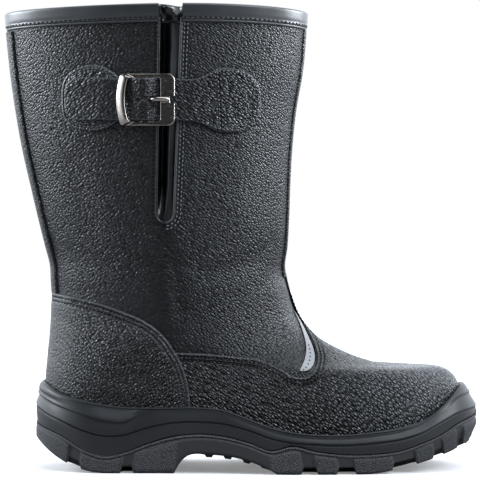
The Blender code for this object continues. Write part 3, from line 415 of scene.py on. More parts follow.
last = {
    "wall": 2.0,
    "overlay": 1.5,
    "gap": 0.35,
    "sunk": 0.9,  # how far the panels' hidden faces lie inside the wall
    "ballSpread": (0.25, 0.65),  # share of the length where heel width grows to ball width
    "swayStart": 0.4,
    "arch": (5.0, 0.42, 0.13, 7.0),  # inset of the inner side, its place, span and levels
    # backX backZ frontX frontZ dip rear ball heelRun toeRun sway full
    "sections": [
        (9.5, 36.0, 286.5, 27.0, 11.0, 31.0, 43.5, 36, 92, 7.0, 2.35),
        (8.2, 48.0, 288.5, 39.0, 10.0, 34.0, 46.0, 38, 92, 7.0, 2.35),
        (8.2, 58.0, 287.0, 50.0, 8.5, 35.5, 47.0, 40, 92, 7.0, 2.30),
        (8.6, 66.0, 283.0, 60.4, 6.0, 36.0, 46.5, 42, 95, 7.0, 2.25),
        (9.3, 73.0, 274.0, 65.7, 3.5, 36.5, 45.0, 46, 100, 6.5, 2.15),
        (9.9, 80.0, 258.0, 66.4, 1.5, 37.0, 43.0, 52, 106, 6.0, 2.05),
        (10.6, 87.0, 240.0, 66.5, 0.0, 37.5, 41.5, 58, 110, 5.0, 2.0),
        (11.2, 94.0, 219.0, 72.0, 0.0, 38.0, 40.5, 64, 110, 4.0, 2.0),
        (11.6, 101.0, 202.0, 79.4, 0.0, 38.0, 40.0, 70, 104, 3.0, 2.0),
        (11.9, 109.0, 188.8, 87.6, 0.0, 38.5, 39.5, 74, 96, 2.0, 2.0),
        (12.1, 118.0, 177.6, 101.5, 0.0, 39.0, 39.5, 78, 88, 1.0, 1.95),
        (11.6, 128.0, 171.4, 118.0, 0.0, 39.5, 40.0, 79, 82, 0.5, 1.95),
        (10.9, 138.0, 167.9, 135.0, 0.0, 40.0, 40.0, 78, 78, 0.0, 1.9),
        (7.8, 150.0, 169.6, 150.0, 0.0, 40.5, 40.5, 80, 80, 0.0, 1.9),
        (2.8, 170.0, 170.7, 170.0, 0.0, 41.5, 41.5, 83, 83, 0.0, 1.9),
        (-2.6, 193.0, 171.5, 193.0, 0.0, 42.5, 42.5, 86, 86, 0.0, 1.9),
        (-7.6, 215.0, 172.8, 216.0, 0.0, 43.5, 43.5, 89, 89, 0.0, 1.9),
        (-12.1, 240.0, 175.5, 242.0, 0.0, 45.0, 45.0, 93, 93, 0.0, 1.9),
        (-16.1, 268.5, 180.4, 271.0, -0.5, 46.5, 46.5, 96, 96, 0.0, 1.9),
        (-19.8, 305.6, 183.2, 306.4, -1.8, 48.5, 48.5, 100, 100, 0.0, 1.9),
    ],
}
sections = np.array(last["sections"], float)
sectionLevels = np.arange(len(sections), dtype=float)
collar = sectionLevels[-1]
shaftFoot = 11.0  # level where the shaft begins
twoPi = 2 * math.pi


def curveThrough(xs, ys, at):
    # cubic through a table's points, its slope at each the mean of the slopes beside it
    xs, ys = np.asarray(xs, float), np.asarray(ys, float)
    slopes = np.gradient(ys, xs)
    at = np.clip(at, xs[0], xs[-1])
    i = np.clip(np.searchsorted(xs, at, side="right") - 1, 0, len(xs) - 2)
    step = xs[i + 1] - xs[i]
    t = (at - xs[i]) / step
    start = ys[i] * (1 + 2 * t) + slopes[i] * step * t
    end = ys[i + 1] * (3 - 2 * t) + slopes[i + 1] * step * (t - 1)
    return start * (1 - t) ** 2 + end * t**2


def ease(t):
    # soft step from 0 to 1: three t squared less two t cubed
    t = np.clip(t, 0.0, 1.0)
    return t * t * (3 - 2 * t)


def bell(distance, width):
    # bell curve, 1 at distance 0
    return np.exp(-((np.asarray(distance) / width) ** 2))


def closing(share, run, power):
    # width factor of a rounded end: superellipse from 0 at the end to 1 after the run
    left = np.clip(1 - share / run, 0.0, 1.0)
    return (1 - left**power) ** (1 / power)


def halfWidth(q, length, rear, ball, heelRun, toeRun, full):
    # heel width eased to ball width, times both rounded ends
    start, end = last["ballSpread"]
    width = rear + (ball - rear) * ease((q - start) / (end - start))
    heel = closing(q, heelRun / length, np.minimum(full, 2.0))
    return width * heel * closing(1 - q, toeRun / length, full)


def sectionAt(level):
    # the section table's columns at a level between its rows
    return [curveThrough(sectionLevels, column, level) for column in sections.T]


def sagged(backZ, frontZ, dip, q):
    # height along a section: straight from back to front, less a sag whose deepest point is the dip
    return backZ + (frontZ - backZ) * q - dip * 6.75 * q * q * (1 - q)


def lastPoint(level, angle):
    # the angle's cosine gives the share of the section's length, heel at 0 and toe at half a
    # turn; the outer side is where the sine is positive
    level, angle = np.broadcast_arrays(np.asarray(level, float), np.asarray(angle, float))
    backX, backZ, frontX, frontZ, dip, rear, ball, heelRun, toeRun, sway, full = sectionAt(level)
    q = (1 - np.cos(angle)) / 2
    length = frontX - backX
    side = np.where(np.sin(angle) >= 0, -1.0, 1.0)
    width = halfWidth(q, length, rear, ball, heelRun, toeRun, full)
    inset, place, span, top = last["arch"]
    arch = inset * np.clip(1 - level / top, 0, 1) * bell(q - place, span)
    width = width - np.where(side > 0, arch, 0.0)
    x = backX + length * q
    y = sway * ease((q - last["swayStart"]) / (1 - last["swayStart"])) + side * width
    return np.stack([x, y, sagged(backZ, frontZ, dip, q)], axis=-1)


def unit(vectors):
    # vectors divided by their lengths
    return vectors / np.maximum(np.linalg.norm(vectors, axis=-1, keepdims=True), 1e-9)


def lastNormal(level, angle):
    # outward direction: cross product of small steps round the last and up it
    level, angle = np.broadcast_arrays(np.asarray(level, float), np.asarray(angle, float))
    step = 0.02
    top, low = np.minimum(level + step, collar), np.maximum(level - step, 0.0)
    up = lastPoint(top, angle) - lastPoint(low, angle)
    along = lastPoint(level, angle + step) - lastPoint(level, angle - step)
    return unit(np.cross(along, up))


def onLast(level, angle, lift):
    # point at a distance outside the last
    return lastPoint(level, angle) + lastNormal(level, angle) * np.asarray(lift, float)[..., None]


def paramsAt(x, z, lowest, highest):
    # level and angle of the outer side's point at x and z, by halving between two levels
    x, z = np.broadcast_arrays(np.asarray(x, float), np.asarray(z, float))
    low, high = np.full(x.shape, float(lowest)), np.full(x.shape, float(highest))
    pastFront = lowest < shaftFoot
    for _ in range(26):
        middle = (low + high) / 2
        backX, backZ, frontX, frontZ, dip = sectionAt(middle)[:5]
        q = (x - backX) / (frontX - backX)
        share = np.clip(q, 0.0, 1.0)
        here = sagged(backZ, frontZ, dip, share)
        above = np.where(q > 1, pastFront, np.where(q < 0, False, here > z))
        low, high = np.where(above, low, middle), np.where(above, middle, high)
    return middle, np.arccos(np.clip(1 - 2 * share, -1.0, 1.0))


def shaftParams(x, z):
    # level and angle of the shaft's outer side at x and z
    return paramsAt(x, z, shaftFoot, collar)


def onShaft(x, z, lift):
    # point of the shaft's outer side at x and z, lifted off the leather
    return onLast(*shaftParams(x, z), lift)


def levelAtHeight(angle, heightOf, highest):
    # level where the last reaches a height that depends on x, by halving
    low, high = np.zeros_like(angle), np.full_like(angle, highest)
    for _ in range(28):
        middle = (low + high) / 2
        point = lastPoint(middle, angle)
        under = point[..., 2] < heightOf(point[..., 0])
        low, high = np.where(under, middle, low), np.where(under, high, middle)
    return (low + high) / 2


def runAlong(path):
    # length of a line up to each of its points
    return np.concatenate([[0], np.cumsum(np.linalg.norm(np.diff(path, axis=0), axis=1))])


def evenRuns(run, step):
    # even runs along a line, about a step apart
    return np.linspace(0, run[-1], max(2, int(round(run[-1] / step)) + 1))


def sampled(at, run, values):
    # values kept along a line, straight between its points, at given runs
    return np.stack([np.interp(at, run, column) for column in np.asarray(values).T], axis=-1)


def resample(path, step):
    # points along a line at about even steps
    run = runAlong(path)
    return sampled(evenRuns(run, step), run, path)


def roundedLine(path, step):
    # smooth curve through a line's points, each axis a cubic of the run along the line
    path = np.asarray(path, float)
    run = runAlong(path)
    at = evenRuns(run, step)
    return np.stack([curveThrough(run, column, at) for column in path.T], axis=-1)


def moved(path, by):
    # line in the side view moved to its left by a distance
    along = unit(np.gradient(np.asarray(path, float), axis=0))
    return path + np.stack([-along[:, 1], along[:, 0]], axis=-1) * by


def distanceTo(points, path):
    # distance of each point to the nearest point of a dense line, in parts to save memory
    flat = np.asarray(points).reshape(-1, points.shape[-1])
    parts = np.array_split(flat, len(flat) // 3000 + 1)
    near = [np.sqrt(((part[:, None] - path[None]) ** 2).sum(-1).min(1)) for part in parts]
    return np.concatenate(near).reshape(points.shape[:-1])


def roundOff(distance, radius):
    # quarter circle: 0 at an edge, 1 from the radius inwards
    left = np.clip(1 - distance / radius, 0.0, 1.0)
    return np.sqrt(1 - left**2)


# Meshes


def patch(points, kind=0, **fields):
    # grid of points with its finish number and its values per point
    return {"points": np.asarray(points, float), "kind": kind, "fields": fields}


def sheetPatches(outer, inner, innerKind=0, **fields):
    # closed sheet between two grids: both faces and the four edges
    edges = [(outer[0], inner[0]), (outer[-1], inner[-1])]
    edges += [(outer[:, 0], inner[:, 0]), (outer[:, -1], inner[:, -1])]
    rims = [patch(np.stack(pair)) for pair in edges]
    return [patch(outer, 0, **fields), patch(inner, innerKind)] + rims


def gridQuads(ids):
    # corners of the faces in a grid of point numbers
    corners = [ids[:-1, :-1], ids[:-1, 1:], ids[1:, 1:], ids[1:, :-1]]
    return np.stack(corners, axis=-1).reshape(-1, 4)


def turnOutwards(mesh, merge=0.0):
    # joins points nearer than the merge distance and turns the faces outwards
    work = bmesh.new()
    work.from_mesh(mesh)
    if merge:
        bmesh.ops.remove_doubles(work, verts=work.verts, dist=merge)
    bmesh.ops.recalc_face_normals(work, faces=work.faces)
    work.to_mesh(mesh)
    work.free()


def addPiece(name, patches, finishes, nodes=(), sharp=50.0):
    # joins grids into one mesh and merges their shared edges
    points, quads, kinds, first = [], [], [], 0
    for part in patches:
        grid = part["points"]
        ids = first + np.arange(grid.shape[0] * grid.shape[1]).reshape(grid.shape[:2])
        points.append(grid.reshape(-1, 3))
        quads.append(gridQuads(ids))
        kinds.append(np.full(len(quads[-1]), part["kind"]))
        first += ids.size
    mesh = bpy.data.meshes.new(name)
    fillMesh(mesh, np.concatenate(points), np.concatenate(quads), np.concatenate(kinds))
    for key in sorted({key for part in patches for key in part["fields"]}):
        layer = mesh.attributes.new(key, "FLOAT", "POINT")
        shapes = [part["points"].shape[:2] for part in patches]
        values = [np.broadcast_to(p["fields"].get(key, 0.0), s).ravel() for p, s in zip(patches, shapes)]
        layer.data.foreach_set("value", np.concatenate(values))
    turnOutwards(mesh, 2e-6)
    return placePiece(name, mesh, finishes, nodes, sharp)


def fillMesh(mesh, points, quads, kinds=None):
    # puts points and four-cornered faces into a mesh as whole arrays
    mesh.vertices.add(len(points))
    mesh.vertices.foreach_set("co", toFrame(points).ravel())
    mesh.loops.add(quads.size)
    mesh.loops.foreach_set("vertex_index", quads.ravel().astype(np.int32))
    mesh.polygons.add(len(quads))
    mesh.polygons.foreach_set("loop_start", np.arange(0, quads.size, 4, dtype=np.int32))
    if kinds is not None:
        mesh.polygons.foreach_set("material_index", kinds.astype(np.int32))
    mesh.update(calc_edges=True)


def placePiece(name, mesh, finishes, nodes, sharp):
    # object at the origin with its finishes, riding on the boot in place of its solids
    piece = bpy.data.objects.new(name, mesh)
    bpy.context.scene.collection.objects.link(piece)
    for finish in finishes:
        mesh.materials.append(finish)
    mesh.shade_smooth()
    mesh.set_sharp_from_angle(angle=math.radians(sharp))
    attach(piece, "root")
    if nodes:
        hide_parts(*nodes)
    return piece


def tubePatches(path, away, radius, sides):
    # ring of points round each point of a path, its first axis the given outward direction;
    # both ends run to their middle point, which closes them
    along = unit(np.gradient(path, axis=0))
    away = unit(away - along * (away * along).sum(-1, keepdims=True))
    side = np.cross(along, away)
    turn = np.linspace(0, twoPi, sides + 1)[None, :, None]
    reach = np.broadcast_to(radius, path.shape[:1])[:, None, None]
    rings = path[:, None] + (away[:, None] * np.cos(turn) + side[:, None] * np.sin(turn)) * reach
    rings[:, -1] = rings[:, 0]
    ends = [np.repeat(p[None, None], sides + 1, axis=1) for p in (path[0], path[-1])]
    return [patch(np.concatenate([ends[0], rings, ends[1]]))]


stitchShapes = {"light": [], "dark": []}  # every stitch of the boot by thread, joined at the end
stitchForm = {  # rings of one stitch: places in lengths, radii and rises in thicknesses
    "places": (-0.5, -0.28, 0.28, 0.5),
    "radii": (0.45, 1.0, 1.0, 0.45),
    "rises": (-0.9, 0.0, 0.0, -0.9),
    "sides": 6,
}
stitchPoints = stitchForm["sides"] * len(stitchForm["places"])
stitchLook = {"pitch": 2.9, "long": 1.9, "thick": 0.42, "thread": "light"}
darkStitch = {"pitch": 2.7, "long": 1.7, "thick": 0.4, "thread": "dark"}


def stitch(path, away, look):
    # short thread bodies along a path: rings of points, thick in the middle and sunk at the ends
    run = runAlong(path)
    count = max(1, int(run[-1] / look["pitch"]))
    at = (np.arange(count) + 0.5) * run[-1] / count
    along = unit(sampled(at, run, np.gradient(path, axis=0)))
    out = sampled(at, run, away)
    out = unit(out - along * (out * along).sum(-1, keepdims=True))
    side = np.cross(along, out)
    places = np.array(stitchForm["places"]) * look["long"]
    radii = np.array(stitchForm["radii"])[:, None] * look["thick"]
    turn = np.arange(stitchForm["sides"]) * twoPi / stitchForm["sides"]
    rise = np.array(stitchForm["rises"])[:, None] * look["thick"] + radii * np.cos(turn)
    wide = radii * np.sin(turn)
    shape = (
        along[:, None, None] * places[None, :, None, None]
        + out[:, None, None] * rise[None, ..., None]
        + side[:, None, None] * wide[None, ..., None]
    )
    placed = sampled(at, run, path)[:, None, None] + shape
    stitchShapes[look["thread"]].append(placed.reshape(-1, stitchPoints, 3))


def sewAlong(level, angle, lift, look):
    # stitches on the last along a line of levels and angles
    stitch(onLast(level, angle, lift), lastNormal(level, angle), look)


def sewOnShaft(line, lift, look):
    # stitches on the shaft's outer side along a line of the side view
    sewAlong(*shaftParams(line[:, 0], line[:, 1]), lift, look)


print("helpers ready")

# Sole: lines along its side, its outline in plan and the floor side

sole = {
    "heel": 6.0,
    "toe": 291.0,
    "rear": 37.0,
    "ball": 48.0,
    "sway": 7.0,
    "full": 2.4,
    "heelRun": 42.0,
    "toeRun": 96.0,
    "steps": 460,
    # x, and the heights there of the rim, the heel cup's edge, the rib and the tread line
    "lines": [
        (0.0, 62.4, 51.0, 43.2, 30.8),
        (8.0, 59.0, 47.6, 38.8, 28.2),
        (20.0, 52.7, 43.0, 34.2, 23.9),
        (34.0, 48.2, 38.6, 28.6, 15.8),
        (48.0, 45.1, 34.8, 24.9, 11.2),
        (62.0, 43.4, 33.8, 25.6, 13.6),
        (75.0, 43.0, 39.8, 29.7, 18.4),
        (92.0, 43.1, 40.8, 33.4, 23.6),
        (110.0, 43.5, 41.2, 34.4, 25.9),
        (128.0, 42.0, 39.6, 33.2, 24.6),
        (145.0, 36.2, 33.8, 28.9, 20.4),
        (159.0, 30.9, 28.7, 23.9, 15.6),
        (173.0, 27.6, 25.4, 21.2, 18.4),
        (188.0, 26.0, 23.9, 20.0, 15.2),
        (206.0, 25.6, 23.6, 19.4, 13.0),
        (228.0, 27.4, 25.2, 20.6, 13.0),
        (246.0, 30.0, 27.8, 22.9, 15.2),
        (260.0, 34.4, 32.6, 27.0, 19.8),
        (272.0, 43.0, 40.6, 33.0, 24.6),
        (283.0, 52.0, 47.6, 38.2, 30.8),
        (300.0, 57.2, 50.5, 41.6, 36.8),
    ],
    # how far each line stands out from the plan at heel, side and toe
    "cupStand": (4.6, 4.2, 4.0),
    "ribStand": (5.9, 5.4, 8.2),
    "treadStand": (5.5, 5.2, 8.4),
    "lugStand": (5.9, 5.9, 8.8),
    "gapStand": (3.6, 4.7, 7.8),
    "rimTop": 8.0,  # level above the whole of the rim
    "rimRows": [  # rings over the rim: stand-off and drop, then what both gain at heel and toe
        (2.0, 3.2),
        (2.1, 0.9),
        (2.6, 0.1, (0.1, 0.1), (0.5, -2.0)),
        (3.3, 0.15, (0.6, 0.5), (1.7, -2.9)),
        (3.75, 0.9, (1.7, 1.4), (3.1, -1.7)),
        (3.6, 1.9, (2.6, 2.6), (4.5, -0.6)),
    ],
    "toeGap": (268.0, 11.0, 1.3),  # where the rim stands off the toe: place, span and width
    "cupStep": (0.9, 60.0, 15.0),  # step under the heel cup, where it begins to fade and its run
    "ribStep": (1.0, 248.0, 16.0),  # step under the rib, the same
    "joint": (8.0, 0.38),  # the tread's joint: inset from the plan, share of the way up to the bed
    "bevel": (54.0, 21.5, 2.22),  # under the heel: where it ends, its rise and power
    "waist": (95.0, 163.0, 13.0, 0.25),  # arch: start, end, height and the crest's share
    "waistPowers": (3, 2.5),  # of its climb and its fall
    "spring": (222.0, 300.0, 20.0, 1.45),  # toe: start, end, rise and power
}
soleLines = np.array(sole["lines"], float)
soleNames = {"rim": 1, "cup": 2, "rib": 3, "tread": 4}


def soleLine(name, x):
    # height of one of the sole's side lines at x
    return curveThrough(soleLines[:, 0], soleLines[:, soleNames[name]], x)


def ground(x):
    # height of the tread's underside: heel bevel, waist behind the ball and toe spring
    x = np.asarray(x, float)
    end, rise, power = sole["bevel"]
    bevel = rise * np.clip((end - x) / end, 0, 1) ** power
    start, stop, high, crest = sole["waist"]
    t = np.clip((x - start) / (stop - start), 0, 1)
    steep, slow = sole["waistPowers"]
    climb = 1 - (1 - np.clip(t / crest, 0, 1)) ** steep
    fall = 1 - np.clip((t - crest) / (1 - crest), 0, 1) ** slow
    start, stop, lift, power = sole["spring"]
    spring = np.clip((x - start) / (stop - start), 0, 1) ** power
    return bevel + high * climb * fall + lift * spring


def bed(x):
    # height of the lasting edge, where upper and footbed meet
    backX, backZ, frontX, frontZ, dip = sections[0, :5]
    q = np.clip((np.asarray(x, float) - backX) / (frontX - backX), 0, 1)
    return sagged(backZ, frontZ, dip, q)


def makePlan():
    # the sole's outline: outer side from heel to toe, inner side back, with outward directions
    # and how far each point faces the heel's end and the toe's end
    turn = np.linspace(0, math.pi, sole["steps"] + 1)
    q = (1 - np.cos(turn)) / 2
    span = sole["toe"] - sole["heel"]
    x = sole["heel"] + span * q
    width = halfWidth(
        q, span, sole["rear"], sole["ball"], sole["heelRun"], sole["toeRun"], sole["full"]
    )
    inset, place, reach, _ = last["arch"]
    arch = inset * bell(q - place, reach)
    middle = sole["sway"] * ease((q - last["swayStart"]) / (1 - last["swayStart"]))
    lateral = np.stack([x, middle - width], axis=-1)
    medial = np.stack([x, middle + width - arch], axis=-1)
    loop = np.concatenate([lateral, medial[-2:0:-1]])
    angle = np.concatenate([turn, twoPi - turn[-2:0:-1]])
    along = np.roll(loop, -1, axis=0) - np.roll(loop, 1, axis=0)
    outward = unit(np.stack([along[:, 1], -along[:, 0]], axis=-1))
    ring = {"loop": loop, "out": outward, "angle": angle, "x": loop[:, 0]}
    ring.update(heelEnd=ease(-outward[:, 0]), toeEnd=ease(outward[:, 0]))
    return {key: np.concatenate([values, values[:1]]) for key, values in ring.items()}


plan = makePlan()


def standOut(name):
    # how far a line stands out: heel, side and toe values blended by where the outline faces
    heel, side, toe = sole[name]
    return side + (heel - side) * plan["heelEnd"] + (toe - side) * plan["toeEnd"]


def soleRing(out, height):
    # loop standing out from the plan, at heights given for x or as numbers
    flat = plan["loop"] + plan["out"] * np.asarray(out)[..., None]
    z = height(flat[..., 0]) if callable(height) else np.broadcast_to(height, flat.shape[:-1])
    return np.concatenate([flat, z[..., None]], axis=-1)


rimAngle = plan["angle"]
rimLevel = levelAtHeight(rimAngle, lambda x: soleLine("rim", x), sole["rimTop"])
rimEdge = lastPoint(rimLevel, rimAngle)


def rimRing(offset, drop, heelBy=(0.0, 0.0), toeBy=(0.0, 0.0)):
    # loop round the upper beside the sole's rim: offset from the leather, below the rim's line by
    # the drop; both grow by the given amounts at the heel and the toe
    heel, toe = plan["heelEnd"], plan["toeEnd"]
    place, span, wide = sole["toeGap"]
    gap = wide * bell(rimEdge[:, 0] - place, span)
    ring = onLast(rimLevel, rimAngle, offset + gap + heelBy[0] * heel + toeBy[0] * toe)
    ring[:, 2] = soleLine("rim", rimEdge[:, 0]) - drop - heelBy[1] * heel - toeBy[1] * toe
    return ring


def acrossLoop(ring, count):
    # strips from the outer half of a closed loop to its inner half
    steps = sole["steps"]
    lateral, medial = ring[: steps + 1], ring[steps:][::-1]
    share = np.linspace(0, 1, count)[:, None, None]
    return lateral[None] * (1 - share) + medial[None] * share


def interfaceRing(by):
    # inner loop of the joint between midsole and outsole, under the footbed
    inset, share = sole["joint"]
    return soleRing(-inset, lambda x: ground(x) + share * (bed(x) - ground(x)) + by)


def profileRows(keys, between):
    # rings through key rings along the profile, each coordinate a cubic of the key's number
    keys = np.array(keys)
    count = len(keys)
    at = np.linspace(0, count - 1, (count - 1) * between + 1)
    i = np.clip(at.astype(int), 0, count - 2)
    t = (at - i)[:, None, None]
    slopes = np.gradient(keys, axis=0)
    start = keys[i] * (1 + 2 * t) + slopes[i] * t
    end = keys[i + 1] * (3 - 2 * t) + slopes[i + 1] * (t - 1)
    return start * (1 - t) ** 2 + end * t**2


def lineBy(name, by):
    # one of the sole's side lines as a function of x, moved up by a distance
    return lambda x: soleLine(name, x) + by


def lineBetween(name, other, share):
    # line between two of the sole's side lines
    return lambda x: soleLine(name, x) * (1 - share) + soleLine(other, x) * share


def buildMidsole():
    # moulded cup: profile rings from the lip inside the rim, over its crest and a groove, down the
    # heel cup's step, the rib and the tread line, smoothed along the profile
    cup, rib, tread = standOut("cupStand"), standOut("ribStand"), standOut("treadStand")
    depth, start, fade = sole["cupStep"]
    heelPart = 1 - ease((plan["x"] - start) / fade)
    step = depth * heelPart
    groove = (0.5 + 0.25 * heelPart) * (1 - plan["toeEnd"])
    depth, start, fade = sole["ribStep"]
    nick = depth * (1 - 0.9 * ease((plan["x"] - start) / fade))
    lip = onLast(0.0, rimAngle, 0.45)
    lip[:, 2] -= 0.35
    side = [
        (cup - groove, lineBetween("rim", "cup", 0.75)),
        (cup - 0.1, lineBy("cup", 0.9)),
        (cup, lineBy("cup", 0.35)),
        (cup - step * 0.45, lineBy("cup", -0.15)),
        (cup - step, lineBy("cup", -0.6)),
        ((cup - step + rib) / 2 + 0.15, lineBetween("cup", "rib", 0.5)),
        (rib - 0.05, lineBy("rib", 1.1)),
        (rib, lineBy("rib", 0.45)),
        (rib - 0.55 * nick, lineBy("rib", -0.1)),
        (rib - nick, lineBy("rib", -0.65)),
        (rib - 0.75 * nick, lineBy("rib", -1.05)),
        (rib - 0.2 * nick, lineBy("rib", -1.5)),
        ((rib + tread) / 2 - 0.15 * nick, lineBetween("rib", "tread", 0.5)),
        (tread - 0.35 * nick, lineBy("tread", 1.3)),
        (tread - 0.4 * nick, lineBy("tread", 0.4)),
        (tread - 1.0, lineBy("tread", 0.0)),
    ]
    keys = [lip, onLast(rimLevel * 0.5, rimAngle, 0.6)]
    keys += [rimRing(*row) for row in sole["rimRows"]] + [soleRing(*row) for row in side]
    rings = profileRows(keys + [interfaceRing(0.17)], 4)
    patches = [patch(rings), patch(acrossLoop(rings[0], 8)), patch(acrossLoop(rings[-1], 8))]
    addPiece("midsole_cup", patches, [soleCompound], ["midsole"], 60.0)


lugs = {
    "blocks": [  # x where each block along the edge begins and ends
        (-1.0, 24.0), (32.5, 60.0), (67.5, 95.5), (159.0, 179.5), (189.0, 203.0),
        (214.3, 239.6), (255.0, 267.4), (274.0, 284.6), (289.5, 301.0),
    ],
    "waistAfter": 2,  # number of the block in front of which the waist begins
    "flank": 1.6,  # mm over which a block's flank rises
    "lean": (150.0, 0.16, -0.12),  # slant of the flanks in front of an x and behind it
    "groove": 4.2,
    "bead": (0.0, 0.12, 0.35, 0.8, 1.25, 1.5, 1.62),  # rows of the bead at the top, mm down
    "beadForm": (-0.25, 0.5, 0.4),  # where it starts from the tread line, its height and roundness
    "sideFrom": (1.7, 0.5),  # where the blocks' sides begin: mm down and mm inside the tread line
    "shoulder": 0.14,  # share of the way down over which the blocks come out
    "foot": (1.4, 0.86),  # rounding at the floor, mm, and the share where it begins
    "toeDraw": (3.4, 0.25, 0.7),  # mm drawn in under the toe, where it begins and its run
    "down": (0, 0.05, 0.1, 0.16, 0.24, 0.34, 0.46, 0.58, 0.7, 0.8, 0.88, 0.94, 0.98, 1.0),
    "across": 56,
    # shares of the sole's width: run over which a form rises, edge blocks, bars and rails
    "soft": 0.03,
    "edges": (0.2, 0.77),
    "middle": (0.255, 0.715),
    "rails": [(0.1, 0.23), (0.74, 0.87)],
    "bars": (26.0, 23.0),  # bars across the middle: how far they bend back, and their pitch
    "teeth": (118.0, 12.4, 1.5, 1.6),  # under the waist: first place, pitch, depth and height
}


def lugMask(x):
    # 1 on a tread block, 0 in a gap, with soft flanks; and the same for the waist
    soft, blocks, number = lugs["flank"], lugs["blocks"], lugs["waistAfter"]
    spans = blocks + [(blocks[number][1], blocks[number + 1][0])]
    masks = [ease((x - a) / soft + 0.5) * ease((b - x) / soft + 0.5) for a, b in spans]
    return np.clip(np.sum(masks[:-1], axis=0), 0, 1), masks[-1]


def buildOutsole():
    # tread layer: a bead under the tread line, then rows down the side that stand out on the blocks
    # and are drawn in and up in the gaps; the underside has blocks along both edges, rails and bars
    # between them, and teeth under the waist
    lug, gap, tread = standOut("lugStand"), standOut("gapStand"), standOut("treadStand")
    top = soleRing(tread, lineBy("tread", -0.1))
    x, topZ = top[:, 0], top[:, 2]
    floor = ground(x)
    place, ahead, behind = lugs["lean"]
    lean = np.where(x > place, ahead, behind)
    rows, stipples, crests = [], [], []
    start, rise, radius = lugs["beadForm"]
    for drop in lugs["bead"]:
        crest = roundOff(np.array(min(drop, lugs["bead"][-1] - drop)), radius)
        rows.append(soleRing(tread + start + rise * crest, topZ - drop))
        stipples.append(np.ones(len(x)))
        # crest marks where the painted highlight runs along the bead
        crests.append(np.full(len(x), float(crest)))
    below, inset = lugs["sideFrom"]
    topZ = topZ - below
    foot, footFrom = lugs["foot"]
    draw, drawFrom, drawRun = lugs["toeDraw"]
    for share in lugs["down"]:
        height = topZ + (floor - topZ) * share
        block, waist = lugMask(x + lean * (height - floor))
        full = np.clip(block + waist, 0, 1)
        z = topZ + (floor + lugs["groove"] * (1 - full) - topZ) * share
        shoulder = ease(share / lugs["shoulder"])
        out = tread - inset + (gap + (lug - gap) * full - tread + inset) * shoulder
        out = out - foot * ease((share - footFrom) / (1 - footFrom)) ** 2
        out = out - draw * plan["toeEnd"] ** 2 * ease((share - drawFrom) / drawRun)
        rows.append(soleRing(out, z))
        stipples.append(np.clip(block * shoulder, 0, 1))
        crests.append(np.zeros(len(x)))
    side = np.array(rows)
    under = acrossLoop(side[-1], lugs["across"])
    across = np.linspace(0, 1, lugs["across"])[:, None]
    past = lambda start: ease((across - start) / lugs["soft"])
    x = under[..., 0]
    block, waist = lugMask(x)
    band = lambda start, end: past(start) * (1 - past(end))
    outer, inner = lugs["edges"]
    rim = 1 - past(outer) + past(inner)
    middle = band(*lugs["middle"])
    rail = sum(band(*span) for span in lugs["rails"])
    bend, pitch = lugs["bars"]
    wave = np.sin((x + bend * np.abs(across - 0.5)) * twoPi / pitch)
    bars = ease((wave + 0.35) / 0.3)
    solid = np.clip(rim * block + middle * bars + rail, 0, 1) * (1 - waist) + waist
    start, pitch, deep, long = lugs["teeth"]
    tooth = ease((np.cos((x - start) * twoPi / pitch) - 0.25) / 0.3)
    inside = np.minimum(ease((across - 0.05) / 0.06), ease((0.95 - across) / 0.06))
    inside = inside * ease((x - start + 12.0) / 10.0)  # none on the heel's own slope
    hang = np.minimum(deep + long * tooth, 0.42 * ground(x)) * inside * waist
    lift = lugs["groove"] * (1 - solid) - hang
    keep = np.minimum(past(0.0), ease((1 - across) / lugs["soft"]))
    under[..., 2] = under[..., 2] * (1 - keep) + (ground(x) + lift) * keep
    inner = interfaceRing(-0.17)
    patches = [
        patch(side, stipple=np.array(stipples), crest=np.array(crests)),
        patch(np.stack([inner, side[0]])),
        patch(acrossLoop(inner, 6)),
        patch(under, stipple=0.4 * solid),
    ]
    addPiece("tread_layer", patches, [treadCompound], ["outsole"], 60.0)


def buildInsole():
    # footbed sheet: the lasting edge's outline filled across, its rim turned up a little
    edge = onLast(0.0, plan["angle"], -last["wall"] - 0.6)
    low = acrossLoop(edge, 24)
    share = np.linspace(0, 1, 24)[:, None]
    top = low.copy()
    top[..., 2] += 2.1 + 0.9 * (np.abs(share - 0.5) * 2) ** 4
    wall = np.stack([edge, edge + np.array([0, 0, 3.0])])
    patches = [patch(low), patch(top), patch(wall)]
    addPiece("footbed", patches, [footbedFelt], ["insole"])


buildMidsole()
buildOutsole()
buildInsole()
print("sole built")

# Upper: one wall from the lasting edge to the collar, slit on the outer side

slit = {
    "low": 165.0,
    "top": 306.0,
    "left": (83.0, 85.4),  # x at the foot and at the collar
    "right": (94.9, 100.6),
    "round": 5.5,
    "rows": 128,  # of the wall's grid
    "columns": 281,
    "footRows": (0.0, 0.3, 0.8, 1.5, 2.4, 3.5, 5.0),  # more rows, mm above the foot
    "roll": 0.95,  # radius of its rolled edge
    "seams": (2.0, 4.1),  # mm from its edge
    "swell": (0.4, 0.8, 0.3, 2.0),  # bead along the edge and its place, groove and its place
    # grain smoothed over the ankle: how far, below what height, behind what x, and the run
    "ankle": (0.55, 138.0, 112.0, 36.0),
    # and beside the front seam: how far, its reach and run, below what height and its run
    "instep": (0.4, 15.0, 10.0, 150.0, 20.0),
}
creaseLimits = (12.0, 90.0)  # creases lie at y under the first and at z over the second
